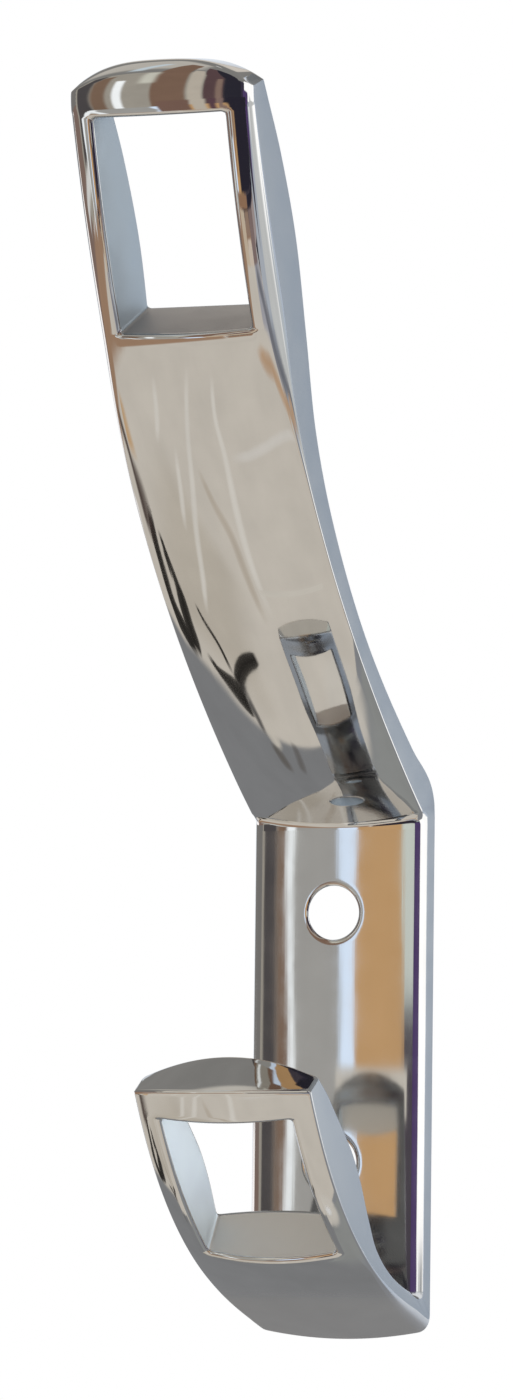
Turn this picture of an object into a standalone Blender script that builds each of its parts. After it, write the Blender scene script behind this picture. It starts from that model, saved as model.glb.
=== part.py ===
"""Double coat hook: a crowned wall plate with an upper arm and a lower hook let into its back.

Frame: X runs across the hook, +Y into the wall, +Z up. The origin lies on the wall face, midway
between the two mounting holes. In side views a point is (reach, height): reach is measured out
from the wall, so it runs along -Y.
"""
from math import asin, cos, radians, sin, tan

import bmesh
import bpy
from mathutils import Vector

MM = 0.001

# Shared by all three members
WIDTH = 20.0 * MM
SEAM = 0.1 * MM  # hairline between the plate's ends and the members that meet them
FIT = 0.25 * MM  # clearance of the hidden tongues and screws

# Wall plate
PLATE_TOP = 22.55 * MM
PLATE_BOTTOM = -27.35 * MM
PLATE_EDGE = 3.35 * MM  # thickness at the long edges, before they are rounded
PLATE_CREST = 4.6 * MM  # thickness along the middle
PLATE_ROUND = 1.2 * MM
HOLE_SPACING = 27.1 * MM
HOLE_DIAMETER = 5.9 * MM
HOLE_LIP = 0.15 * MM
HOLE_WALL = 0.35 * MM  # straight part of a hole behind its lip
HOLE_RELIEF = 1.4 * MM  # how much wider a hole is where it meets the recess behind
RECESS_WIDTH = 15.0 * MM
RECESS_DEPTH = 1.85 * MM
CENTRE_LAND = 3.4 * MM  # solid back left between the two recesses
TONGUE_ROOT = 1.2 * MM  # how far a tongue reaches into its member
TONGUE_SINK = 0.05 * MM  # a tongue stays this far off the wall

# Upper arm, measured along its front edges; stations are (share of its length, size)
CREASE_RISE = 1.5 * MM  # from the plate's top to where the arm leaves it
ARM_REACH = 56.5 * MM
ARM_TIP_HEIGHT = 96.75 * MM
ARM_TIP_WIDTH = 20.7 * MM
ARM_ROOT_LEAN = radians(54.9)
ARM_TIP_LEAN = radians(14.3)
ARM_ROOT_PULL = 0.363
ARM_TIP_PULL = 0.381
ARM_HEEL = 4.6 * MM  # radius where the arm's back turns down onto the wall
ARM_CROWN = ((0.0, 1.5 * MM), (0.25, 1.72 * MM), (0.6, 1.5 * MM), (1.0, 1.2 * MM))
ARM_THICKNESS = (
    (0.05, 3.85 * MM), (0.27, 2.95 * MM), (0.45, 3.6 * MM), (0.56, 4.9 * MM),
    (0.67, 7.3 * MM), (0.79, 8.7 * MM), (0.9, 7.4 * MM), (1.0, 4.25 * MM),
)
ARM_EDGE_ROUND = ((0.0, 0.4 * MM), (0.06, 0.25 * MM), (0.5, 0.25 * MM), (0.7, 1.1 * MM), (1.0, 1.1 * MM))
ARM_BACK_ROUND = 0.35 * MM
ARM_HEEL_ROUND = 0.2 * MM
ARM_WINDOW_LENGTH = 22.9 * MM
ARM_TIP_BAR = 3.5 * MM
ARM_TIP_ARCH = 1.9 * MM
ARM_TIP_BACK_ARCH = 1.5 * MM
ARM_TIP_ROLL = 8.0 * MM  # radius with which the front rolls back over the tip bar
ARM_TIP_ROUND = 0.8 * MM
ARM_TIP_CORNER = 1.25 * MM
ARM_TIP_BACK_ROUND = 0.4 * MM

# Lower hook, measured along its outer edges
HOOK_REACH = 35.75 * MM
HOOK_TIP_HEIGHT = -6.5 * MM
HOOK_DROP = 4.35 * MM  # from the plate's bottom to the corners at the wall
HOOK_ROOT_LEAN = radians(74.3)
HOOK_TIP_LEAN = radians(29.9)
HOOK_PULL = 0.385
HOOK_CROWN = 1.7 * MM
HOOK_WALL_CROWN = 1.0 * MM
HOOK_INNER_CROWN = 1.0 * MM
HOOK_THICKNESS = (
    (0.1, 2.7 * MM), (0.28, 2.05 * MM), (0.41, 2.55 * MM), (0.5, 4.1 * MM),
    (0.61, 5.8 * MM), (0.73, 6.25 * MM), (0.92, 4.5 * MM), (1.0, 2.85 * MM),
)
HOOK_EDGE_ROUND = ((0.1, 1.4 * MM), (0.28, 0.7 * MM), (0.45, 0.3 * MM), (1.0, 0.3 * MM))
HOOK_INNER_ROUND = 0.4 * MM
HOOK_WALL_ROUND = 0.3 * MM
HOOK_WINDOW_LENGTH = 19.2 * MM
HOOK_TIP_BAR = 3.25 * MM
HOOK_TIP_ARCH = 0.7 * MM
HOOK_TIP_BACK_ARCH = 1.9 * MM
HOOK_TIP_SLANT = 0.1 * MM  # how much further up the tip's rear edge lies
HOOK_TIP_ROUND = 0.3 * MM
HOOK_TIP_CORNER = 0.3 * MM
HOOK_CORNER_STEP = 0.6 * MM  # from the seam down to the corner above the hook's root
HOOK_CORNER_ROUND = 0.7 * MM

# Both windows
WINDOW_WIDTH = 14.8 * MM
WINDOW_SIDE_RIM = 0.9 * MM
WINDOW_END_RIM = 0.45 * MM
WINDOW_LEAD = 1.4 * MM  # even sections stop this far short of a window

# Countersunk fixing screws, put in from behind
SCREW_DIAMETER = 2.5 * MM
SCREW_HEAD = 4.5 * MM
SCREW_LENGTH = 3.2 * MM
SCREW_SINK = 0.15 * MM
SCREW_SLOT = 0.6 * MM
SCREW_RIM = 0.1 * MM

WIDEST_ROUND = 1.5 * MM
CUT_PAST = 1.0 * MM  # cutters reach this far past the faces they cut
COLUMNS = 9


def smooth_station(stations, t):
    """Read a smooth curve through (share, size) stations, flat past both ends."""
    if t <= stations[0][0]:
        return stations[0][1]
    last = len(stations) - 1
    for k in range(last):
        (t0, v0), (t1, v1) = stations[k], stations[k + 1]
        if t <= t1:
            before = stations[max(k - 1, 0)]
            after = stations[min(k + 2, last)]
            step = t1 - t0
            slope0 = (v1 - before[1]) / (t1 - before[0])
            slope1 = (after[1] - v0) / (after[0] - t0)
            u = (t - t0) / step
            value = (
                v0 * (1 + 2 * u) * (1 - u) ** 2
                + slope0 * step * u * (1 - u) ** 2
                + v1 * u * u * (3 - 2 * u)
                + slope1 * step * u * u * (u - 1)
            )
            return value
    return stations[last][1]


class SideCurve:
    """A Bezier curve in the side view that starts and ends at given leans from the vertical."""

    def __init__(self, start, lean_start, pull_start, end, lean_end, pull_end):
        a, d = Vector(start), Vector(end)
        chord = (d - a).length
        b = a + Vector((sin(lean_start), cos(lean_start))) * chord * pull_start
        c = d - Vector((sin(lean_end), cos(lean_end))) * chord * pull_end
        self.points = []
        for k in range(401):
            t = k / 400
            self.points.append(
                a * (1 - t) ** 3 + b * 3 * t * (1 - t) ** 2 + c * 3 * t * t * (1 - t) + d * t ** 3
            )
        self.lengths = [0.0]
        for p, q in zip(self.points, self.points[1:]):
            self.lengths.append(self.lengths[-1] + (q - p).length)
        self.length = self.lengths[-1]

    def at(self, s):
        """Point and outward normal at arc length s, straight on past the end."""
        k = 0
        while k < 399 and self.lengths[k + 1] < s:
            k += 1
        p, q = self.points[k], self.points[k + 1]
        tangent = (q - p).normalized()
        point = p + tangent * (s - self.lengths[k])
        return point, Vector((tangent.y, -tangent.x))


def bulge(x, width=WIDTH):
    """1 on the centre line, 0 at both long edges."""
    return 1.0 - (2.0 * x / width) ** 2


def plate_front(x):
    return PLATE_EDGE + (PLATE_CREST - PLATE_EDGE) * bulge(x)


def place(x, side_point):
    return Vector((x, -side_point.x, side_point.y))


def column_positions(width):
    """Columns across a blade of this width, with one on each side of the window."""
    inner = COLUMNS - 2
    half = 0.5 * WINDOW_WIDTH
    middle = [-half + WINDOW_WIDTH * k / (inner - 1) for k in range(inner)]
    return [-0.5 * width] + middle + [0.5 * width]


def spread(start, end, count):
    return [start + (end - start) * k / count for k in range(1, count + 1)]


class Row:
    """One section of a blade: outer and inner points by column, and its edge rounding."""

    def __init__(self, outer, inner, outer_round, inner_round):
        self.outer = outer
        self.inner = inner
        self.outer_round = outer_round
        self.inner_round = inner_round


def link(collection, name, mesh):
    obj = bpy.data.objects.new(name, mesh)
    collection.objects.link(obj)
    return obj


def blade(name, rows, low, high, tip_rounds, corner_row=None, corner_round=0.0):
    """Loft the rows into one closed body with a window between rows low and high."""
    tip_round, tip_inner_round, tip_corner = tip_rounds
    bm = bmesh.new()
    outer = [[bm.verts.new(p) for p in row.outer] for row in rows]
    inner = [[bm.verts.new(p) for p in row.inner] for row in rows]
    last_row, last_col = len(rows) - 1, COLUMNS - 1
    first, final = 1, last_col - 1
    for i in range(last_row):
        for j in range(last_col):
            if low <= i < high and first <= j < final:
                continue
            bm.faces.new((outer[i][j], outer[i][j + 1], outer[i + 1][j + 1], outer[i + 1][j]))
            bm.faces.new((inner[i][j], inner[i + 1][j], inner[i + 1][j + 1], inner[i][j + 1]))
    walls = [(last_col, range(last_row), True), (0, range(last_row), False)]
    walls += [(first, range(low, high), True), (final, range(low, high), False)]
    for j, span, faces_right in walls:
        for i in span:
            ring = (outer[i][j], inner[i][j], inner[i + 1][j], outer[i + 1][j])
            bm.faces.new(ring if faces_right else ring[::-1])
    ends = [(0, range(last_col), True), (last_row, range(last_col), False)]
    ends += [(high, range(first, final), True), (low, range(first, final), False)]
    for i, span, faces_back in ends:
        for j in span:
            ring = (outer[i][j], inner[i][j], inner[i][j + 1], outer[i][j + 1])
            bm.faces.new(ring if faces_back else ring[::-1])

    weight = bm.edges.layers.float.new("bevel_weight_edge")

    def soften(a, b, radius):
        bm.edges.get((a, b))[weight] = min(radius / WIDEST_ROUND, 1.0)

    for i in range(last_row):
        for j in (0, last_col):
            soften(outer[i][j], outer[i + 1][j], 0.5 * (rows[i].outer_round + rows[i + 1].outer_round))
            soften(inner[i][j], inner[i + 1][j], 0.5 * (rows[i].inner_round + rows[i + 1].inner_round))
    for i in range(low, high):
        for j in (first, final):
            soften(outer[i][j], outer[i + 1][j], WINDOW_SIDE_RIM)
            soften(inner[i][j], inner[i + 1][j], WINDOW_SIDE_RIM)
    for i in (low, high):
        for j in range(first, final):
            soften(outer[i][j], outer[i][j + 1], WINDOW_END_RIM)
            soften(inner[i][j], inner[i][j + 1], WINDOW_END_RIM)
    for j in range(last_col):
        soften(outer[last_row][j], outer[last_row][j + 1], tip_round)
        soften(inner[last_row][j], inner[last_row][j + 1], tip_inner_round)
        if corner_row is not None:
            soften(outer[corner_row][j], outer[corner_row][j + 1], corner_round)
    for j in (0, last_col):
        soften(outer[last_row][j], inner[last_row][j], tip_corner)

    mesh = bpy.data.meshes.new(name)
    bm.to_mesh(mesh)
    bm.free()
    obj = link(parts, name, mesh)
    rounding = obj.modifiers.new("rounded edges", "BEVEL")
    rounding.width = WIDEST_ROUND
    rounding.limit_method = "WEIGHT"
    rounding.segments = 2
    rounding.use_clamp_overlap = False
    return obj


def box(name, low, high):
    """A box between two corners, kept as a cutter."""
    size = Vector(high) - Vector(low)
    bm = bmesh.new()
    bmesh.ops.create_cube(bm, size=1.0)
    bmesh.ops.scale(bm, vec=size, verts=bm.verts)
    bmesh.ops.translate(bm, vec=(Vector(high) + Vector(low)) * 0.5, verts=bm.verts)
    return cutter(name, bm)


def turned(name, profile, height, sides=40):
    """A body turned about a line along Y at a given height, from (radius, reach) stations."""
    bm = bmesh.new()
    for (r0, y0), (r1, y1) in zip(profile, profile[1:]):
        if abs(y1 - y0) < 1e-7:
            continue
        ring = bmesh.ops.create_cone(
            bm, cap_ends=True, segments=sides, radius1=r0, radius2=r1, depth=abs(y1 - y0)
        )
        bmesh.ops.translate(bm, vec=(0, 0, 0.5 * (y0 + y1)), verts=ring["verts"])
    drop = sorted((f for f in bm.faces if len(f.verts) == sides), key=lambda f: f.calc_center_median().z)
    keep = {drop[0], drop[-1]}
    bmesh.ops.delete(bm, geom=[f for f in drop if f not in keep], context="FACES_ONLY")
    bmesh.ops.remove_doubles(bm, verts=bm.verts, dist=1e-6)
    for v in bm.verts:
        v.co = Vector((v.co.x, -v.co.z, v.co.y + height))
    bmesh.ops.recalc_face_normals(bm, faces=bm.faces)
    return bm


def cutter(name, bm):
    mesh = bpy.data.meshes.new(name)
    bm.to_mesh(mesh)
    bm.free()
    obj = link(cutters, name, mesh)
    obj.hide_render = True
    obj.display_type = "WIRE"
    return obj


def boolean(obj, other, operation):
    step = obj.modifiers.new(other.name, "BOOLEAN")
    step.operation = operation
    step.object = other


def arm_rows():
    """Sections of the upper arm, from the seam on the plate up to the tip."""
    crease = PLATE_TOP + CREASE_RISE
    curve = SideCurve(
        (PLATE_EDGE, crease), ARM_ROOT_LEAN, ARM_ROOT_PULL,
        (ARM_REACH, ARM_TIP_HEIGHT), ARM_TIP_LEAN, ARM_TIP_PULL,
    )
    length = curve.length
    high = length - ARM_TIP_BAR
    low = high - ARM_WINDOW_LENGTH
    roll_start = high + WINDOW_END_RIM

    def share(s):
        return min(max(s / length, 0.0), 1.0)

    def width(s):
        return WIDTH + (ARM_TIP_WIDTH - WIDTH) * share(s)

    def front(s, x):
        """A point of the crowned front, which rolls back past roll_start."""
        point, normal = curve.at(min(s, roll_start))
        along = Vector((-normal.y, normal.x))
        turn = max(s - roll_start, 0.0) / ARM_TIP_ROLL
        rolled = normal * cos(turn) + along * sin(turn)
        point = point + (rolled - normal) * ARM_TIP_ROLL
        crown = smooth_station(ARM_CROWN, share(s))
        return point + rolled * crown * bulge(x, width(s))

    def back(s):
        point, normal = curve.at(s)
        return point - normal * smooth_station(ARM_THICKNESS, s / length)

    def level(points_reach, height):
        return [place(x, Vector((reach, height))) for x, reach in points_reach]

    columns = column_positions(WIDTH)
    on_wall = [(x, 0.0) for x in columns]
    seam = PLATE_TOP + SEAM
    on_plate = [(x, plate_front(x)) for x in columns]
    rows = [Row(level(on_plate, seam), level(on_wall, seam), PLATE_ROUND, 0.0)]

    meet = []
    for x in columns:
        start = front(0.0, x)
        along = Vector((sin(ARM_ROOT_LEAN), cos(ARM_ROOT_LEAN)))
        meet.append(place(x, start + along * ((plate_front(x) - start.x) / along.x)))
    rows.append(Row(meet, level(on_wall, crease), 0.5 * PLATE_ROUND, 0.0))

    heel_base = crease + 0.14 * ARM_HEEL
    heel_end = 0.045 * length
    for k in range(5):
        turn = radians(52.0) * k / 4
        heel = Vector((ARM_HEEL * (1 - cos(turn)), heel_base + ARM_HEEL * sin(turn)))
        s = heel_end * (0.2 + 0.2 * k)
        soft = smooth_station(ARM_EDGE_ROUND, s / length)
        rows.append(Row(
            [place(x, front(s, x)) for x in columns], [place(x, heel) for x in columns], soft, ARM_HEEL_ROUND,
        ))

    first_blade = 0.075 * length
    stations = [first_blade] + spread(first_blade, low - WINDOW_LEAD, 13) + [low]
    low_row = len(rows) + len(stations) - 1
    stations += spread(low, high, 7)
    for s in stations:
        columns = column_positions(width(s))
        soft = smooth_station(ARM_EDGE_ROUND, s / length)
        rows.append(Row(
            [place(x, front(s, x)) for x in columns],
            [place(x, back(s)) for x in columns],
            soft, ARM_BACK_ROUND,
        ))
    high_row = len(rows) - 1

    columns = column_positions(ARM_TIP_WIDTH)
    for part in (0.3, 0.6, 1.0):
        over = [high + part * (ARM_TIP_BAR + ARM_TIP_ARCH * bulge(x, ARM_TIP_WIDTH)) for x in columns]
        under = [high + part * (ARM_TIP_BAR + ARM_TIP_BACK_ARCH * bulge(x, ARM_TIP_WIDTH)) for x in columns]
        rows.append(Row(
            [place(x, front(s, x)) for x, s in zip(columns, over)],
            [place(x, back(s)) for x, s in zip(columns, under)],
            smooth_station(ARM_EDGE_ROUND, 1.0), ARM_BACK_ROUND,
        ))
    return rows, low_row, high_row


def hook_rows():
    """Sections of the lower hook, from the seam under the plate out to the tip."""
    columns = column_positions(WIDTH)
    seam = PLATE_BOTTOM - SEAM
    lowest = PLATE_BOTTOM - HOOK_DROP
    curve = SideCurve(
        (0.0, lowest), HOOK_ROOT_LEAN, HOOK_PULL,
        (HOOK_REACH, HOOK_TIP_HEIGHT), HOOK_TIP_LEAN, HOOK_PULL,
    )
    length = curve.length
    high = length - HOOK_TIP_BAR
    low = high - HOOK_WINDOW_LENGTH

    def outer(s, x):
        point, normal = curve.at(s)
        grown = min(s / (0.5 * length), 1.0)
        return point + normal * (HOOK_WALL_CROWN + (HOOK_CROWN - HOOK_WALL_CROWN) * grown) * bulge(x)

    def inner(s, x):
        point, normal = curve.at(s)
        grown = HOOK_INNER_CROWN * bulge(x) * min(max(s / length - 0.12, 0.0) / 0.3, 1.0)
        return point - normal * (smooth_station(HOOK_THICKNESS, s / length) + grown)

    stub = [place(x, Vector((plate_front(x), seam))) for x in columns]
    rows = [Row([place(x, Vector((0.0, seam))) for x in columns], stub, 0.0, PLATE_ROUND)]
    corner = [place(x, Vector((plate_front(x), seam - HOOK_CORNER_STEP))) for x in columns]
    base = [place(x, Vector((0.0, lowest - HOOK_WALL_CROWN * bulge(x)))) for x in columns]
    rows.append(Row(base, corner, HOOK_WALL_ROUND, 0.6 * PLATE_ROUND))

    first_blade = 0.15 * length
    stations = [first_blade] + spread(first_blade, low - WINDOW_LEAD, 6) + [low]
    low_row = len(rows) + len(stations) - 1
    stations += spread(low, high, 7)
    for s in stations:
        soft = smooth_station(HOOK_EDGE_ROUND, s / length)
        rows.append(Row(
            [place(x, outer(s, x)) for x in columns],
            [place(x, inner(s, x)) for x in columns],
            soft, HOOK_INNER_ROUND,
        ))
    high_row = len(rows) - 1

    over = [length + HOOK_TIP_ARCH * bulge(x) for x in columns]
    under = [length + HOOK_TIP_SLANT + HOOK_TIP_BACK_ARCH * bulge(x) for x in columns]
    rows.append(Row(
        [place(x, outer(s, x)) for x, s in zip(columns, over)],
        [place(x, inner(s, x)) for x, s in zip(columns, under)],
        smooth_station(HOOK_EDGE_ROUND, 1.0), HOOK_INNER_ROUND,
    ))
    return rows, low_row, high_row


def plate_outline():
    """The plate's section: flat back and sides, rounded long edges, crowned front."""
    half = 0.5 * WIDTH
    points = [(-half, 0.0)]
    edge = PLATE_EDGE - PLATE_ROUND
    fall = asin(min(4.0 * (PLATE_CREST - PLATE_EDGE) / WIDTH, 0.9))
    for k in range(5):
        turn = (radians(90.0) - fall) * k / 4
        points.append((-half + PLATE_ROUND * (1 - cos(turn)), edge + PLATE_ROUND * sin(turn)))
    start = points[-1][0]
    rise = points[-1][1]
    for k in range(1, 12):
        x = start * (1 - k / 6)
        blend = rise - plate_front(start)
        points.append((x, plate_front(x) + blend * (x / start) ** 2))
    for x, reach in points[5::-1]:
        points.append((-x, reach))
    return points


def wall_plate():
    bm = bmesh.new()
    base = [bm.verts.new((x, -reach, PLATE_BOTTOM)) for x, reach in plate_outline()]
    face = bm.faces.new(base)
    grown = bmesh.ops.extrude_face_region(bm, geom=[face])
    top = [v for v in grown["geom"] if isinstance(v, bmesh.types.BMVert)]
    bmesh.ops.translate(bm, vec=(0, 0, PLATE_TOP - PLATE_BOTTOM), verts=top)
    bmesh.ops.recalc_face_normals(bm, faces=bm.faces)
    mesh = bpy.data.meshes.new("wall_plate")
    bm.to_mesh(mesh)
    bm.free()
    obj = link(parts, "wall_plate", mesh)
    half = 0.5 * RECESS_WIDTH
    land = 0.5 * CENTRE_LAND
    recesses = (
        ("arm recess", land, PLATE_TOP + CUT_PAST),
        ("hook recess", PLATE_BOTTOM - CUT_PAST, -land),
    )
    for name, z0, z1 in recesses:
        boolean(obj, box(name, (-half, -RECESS_DEPTH, z0), (half, CUT_PAST, z1)), "DIFFERENCE")
    radius = 0.5 * HOLE_DIAMETER
    for name, height in (("upper hole", 0.5 * HOLE_SPACING), ("lower hole", -0.5 * HOLE_SPACING)):
        lip = PLATE_CREST - HOLE_LIP
        throat = max(lip - HOLE_WALL, RECESS_DEPTH)
        wide = radius + HOLE_RELIEF
        profile = [
            (wide, -CUT_PAST), (wide, RECESS_DEPTH), (radius, throat), (radius, lip),
            (radius + HOLE_LIP + CUT_PAST, PLATE_CREST + CUT_PAST),
        ]
        boolean(obj, cutter(name, turned(name, profile, height)), "DIFFERENCE")
    for name, side in (("arm tapping", 1), ("hook tapping", -1)):
        profile = [
            (0.5 * SCREW_DIAMETER + FIT, 0.5 * RECESS_DEPTH),
            (0.5 * SCREW_DIAMETER + FIT, SCREW_SINK + SCREW_LENGTH + FIT),
        ]
        boolean(obj, cutter(name, turned(name, profile, side * screw_height(), 24)), "DIFFERENCE")
    return obj


def screw_height():
    """The fixing screws sit midway between the centre land and the mounting hole's clearance."""
    return 0.5 * (0.5 * CENTRE_LAND + FIT + 0.5 * HOLE_SPACING - clearance_radius())


def clearance_radius():
    """Hole in a tongue, wide enough for a slanting look through the mounting hole."""
    return 0.5 * HOLE_DIAMETER + PLATE_CREST * tan(radians(25.0))


def add_tongue(obj, side, end):
    """Join a tongue to a member, with its mounting clearance and its countersunk screw hole."""
    half = 0.5 * RECESS_WIDTH - FIT
    near = 0.5 * CENTRE_LAND + FIT
    thick = RECESS_DEPTH - FIT
    z0, z1 = sorted((side * near, end + side * TONGUE_ROOT))
    tongue = box(obj.name + " tongue", (-half, -thick, z0), (half, -TONGUE_SINK, z1))
    boolean(obj, tongue, "UNION")
    radius = clearance_radius()
    hole = turned("clearance", [(radius, -CUT_PAST), (radius, thick + CUT_PAST)], side * 0.5 * HOLE_SPACING)
    boolean(obj, cutter(obj.name + " clearance", hole), "DIFFERENCE")
    wide = 0.5 * SCREW_HEAD + FIT
    narrow = 0.5 * SCREW_DIAMETER + FIT
    top = SCREW_SINK + FIT
    profile = [(wide, -CUT_PAST), (wide, top), (narrow, top + wide - narrow), (narrow, thick + CUT_PAST)]
    sink = turned("sink", profile, side * screw_height(), 24)
    boolean(obj, cutter(obj.name + " countersink", sink), "DIFFERENCE")


def fixing_screw(name, side):
    """A slotted countersunk screw whose head lies just under the wall face."""
    wide, narrow = 0.5 * SCREW_HEAD, 0.5 * SCREW_DIAMETER
    top = SCREW_SINK
    rim = top + SCREW_RIM
    profile = [(wide, top), (wide, rim), (narrow, rim + wide - narrow), (narrow, top + SCREW_LENGTH)]
    bm = turned(name, profile, side * screw_height(), 24)
    mesh = bpy.data.meshes.new(name)
    bm.to_mesh(mesh)
    bm.free()
    obj = link(parts, name, mesh)
    z = side * screw_height()
    slot = box(
        name + " slot",
        (-SCREW_HEAD, -top - SCREW_SLOT, z - 0.5 * SCREW_SLOT),
        (SCREW_HEAD, CUT_PAST, z + 0.5 * SCREW_SLOT),
    )
    boolean(obj, slot, "DIFFERENCE")
    return obj


def metal(name, colour, roughness):
    material = bpy.data.materials.new(name)
    material.use_nodes = True
    shader = material.node_tree.nodes["Principled BSDF"]
    shader.inputs["Base Color"].default_value = (*colour, 1.0)
    shader.inputs["Metallic"].default_value = 1.0
    shader.inputs["Roughness"].default_value = roughness
    return material


for old in list(bpy.data.objects):
    bpy.data.objects.remove(old, do_unlink=True)

parts = bpy.data.collections.new("double coat hook")
cutters = bpy.data.collections.new("cutters")
bpy.context.scene.collection.children.link(parts)
bpy.context.scene.collection.children.link(cutters)

plate = wall_plate()

rows, low_row, high_row = arm_rows()
tip = (ARM_TIP_ROUND, ARM_TIP_BACK_ROUND, ARM_TIP_CORNER)
arm = blade("upper_arm", rows, low_row, high_row, tip)
add_tongue(arm, 1, PLATE_TOP)

rows, low_row, high_row = hook_rows()
tip = (HOOK_TIP_ROUND, HOOK_TIP_ROUND, HOOK_TIP_CORNER)
hook = blade("lower_hook", rows, low_row, high_row, tip, 1, HOOK_CORNER_ROUND)
add_tongue(hook, -1, PLATE_BOTTOM)

arm_screw = fixing_screw("arm_screw", 1)
hook_screw = fixing_screw("hook_screw", -1)

for obj, colour, roughness in (
    (plate, (0.80, 0.80, 0.80), 0.05),
    (arm, (0.80, 0.79, 0.77), 0.06),
    (hook, (0.78, 0.77, 0.75), 0.08),
    (arm_screw, (0.55, 0.55, 0.56), 0.30),
    (hook_screw, (0.55, 0.55, 0.56), 0.30),
):
    obj.data.materials.append(metal(obj.name + " chrome", colour, roughness))
    obj.data.shade_smooth()
    obj.data.set_sharp_from_angle(angle=radians(35.0))
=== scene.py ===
"""Double coat hook, dressed: smooth lofted members, polished and satin chrome, studio stage and camera.

The frame is the part's own: X across the hook, +Y into the wall, +Z up, metres, the origin on the
wall face midway between the screw holes. In side views a point is (reach, height), with reach
measured out from the wall along -Y.
"""

from bisect import bisect_right
from math import atan, atan2, cos, hypot, pi, radians, sin, sqrt, tan

import bmesh
import bpy
from mathutils import Matrix, Vector

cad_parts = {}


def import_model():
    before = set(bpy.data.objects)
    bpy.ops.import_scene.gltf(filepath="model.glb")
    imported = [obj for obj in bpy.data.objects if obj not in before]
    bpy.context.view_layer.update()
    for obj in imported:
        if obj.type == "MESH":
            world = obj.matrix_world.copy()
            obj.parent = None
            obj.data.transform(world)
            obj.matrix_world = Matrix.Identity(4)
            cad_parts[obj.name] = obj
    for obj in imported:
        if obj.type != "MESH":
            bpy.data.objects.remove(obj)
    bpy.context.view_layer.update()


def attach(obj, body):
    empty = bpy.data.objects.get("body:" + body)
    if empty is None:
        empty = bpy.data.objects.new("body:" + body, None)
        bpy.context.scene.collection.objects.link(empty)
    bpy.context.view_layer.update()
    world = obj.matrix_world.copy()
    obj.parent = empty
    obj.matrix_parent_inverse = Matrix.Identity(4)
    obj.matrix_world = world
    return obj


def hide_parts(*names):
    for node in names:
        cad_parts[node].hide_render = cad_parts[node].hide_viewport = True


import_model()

MM = 0.001

# Plate, holes and hidden fixings
WIDTH = 20.0 * MM
PLATE_TOP = 22.55 * MM
PLATE_BOTTOM = -27.35 * MM
PLATE_EDGE = 3.35 * MM
PLATE_CREST = 4.6 * MM
PLATE_ROUND = 1.65 * MM
HOLE_SPACING = 27.1 * MM
HOLE_RADIUS = 2.95 * MM
HOLE_LIP = 0.2 * MM
HOLE_LIP_WIDTH = 0.7 * MM
HOLE_WALL = 0.15 * MM
HOLE_RELIEF = 1.4 * MM
HOLE_PATCH = 5.6 * MM
HOLE_CLEARANCE_LEAN = radians(25.0)
RECESS_WIDTH = 15.0 * MM
RECESS_DEPTH = 1.85 * MM
CENTRE_LAND = 3.4 * MM
TONGUE_ROOT = 1.2 * MM
TONGUE_SINK = 0.05 * MM
FIT = 0.25 * MM
SCREW_DIAMETER = 2.5 * MM
SCREW_HEAD = 4.5 * MM
SCREW_LENGTH = 3.2 * MM
SCREW_SINK = 0.15 * MM
SCREW_SLOT = 0.6 * MM
SCREW_EDGE = 0.06 * MM
SCREW_RIM = 0.1 * MM
SCREW_NECK = 0.1 * MM
SCREW_POINT = 0.15 * MM
THREAD_PITCH = 0.3 * MM
THREAD_DEPTH = 0.12 * MM
CUT_PAST = 1.0 * MM

# Upper arm, with stations as shares of its length
CREASE_RISE = 1.5 * MM
CREASE_FILLET = 0.65 * MM
CREASE_STUB = 0.4 * CREASE_RISE
ARM_REACH = 56.5 * MM
ARM_TIP_HEIGHT = 96.75 * MM
ARM_TIP_WIDTH = 20.35 * MM
ARM_ROOT_LEAN = radians(54.9)
ARM_TIP_LEAN = radians(14.3)
ARM_ROOT_PULL = 0.363
ARM_TIP_PULL = 0.381
ARM_HEEL = 4.6 * MM
ARM_HEEL_TURN = radians(52.0)
ARM_HEEL_LIFT = 0.14 * ARM_HEEL
ARM_HEEL_END = 0.045
ARM_BLADE_START = 0.075
ARM_FIRST_STATION = 0.35 * MM
ARM_CROWN = (
    (0.0, 1.5 * MM), (0.07, 2.05 * MM), (0.14, 2.0 * MM),
    (0.25, 1.72 * MM), (0.6, 1.5 * MM), (1.0, 1.2 * MM),
)
ARM_THICKNESS = (
    (0.05, 3.85 * MM), (0.27, 2.95 * MM), (0.45, 3.6 * MM), (0.56, 4.9 * MM),
    (0.67, 7.3 * MM), (0.79, 8.7 * MM), (0.9, 7.4 * MM), (1.0, 4.25 * MM),
)
ARM_EDGE_ROUND = ((0.0, 0.4 * MM), (0.06, 0.25 * MM), (0.5, 0.25 * MM), (0.7, 1.1 * MM), (1.0, 1.1 * MM))
ARM_EDGE_DEPTH = (
    (0.0, 0.4 * MM), (0.06, 0.25 * MM), (0.5, 0.25 * MM), (0.62, 1.1 * MM),
    (0.72, 2.5 * MM), (0.82, 2.4 * MM), (1.0, 1.4 * MM),
)
ARM_BACK_ROUND = 0.35 * MM
ARM_WINDOW_LENGTH = 22.9 * MM
ARM_TIP_BAR = 3.5 * MM
ARM_TIP_ARCH = 1.8 * MM
ARM_TIP_BACK_ARCH = 1.8 * MM
ARM_TIP_ROLL = 8.0 * MM
ARM_TIP_ROUND = 0.8 * MM
ARM_TIP_CORNER = 1.0 * MM
ARM_TIP_FULLNESS = 3.4
ARM_TIP_BACK_ROUND = 0.4 * MM

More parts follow.
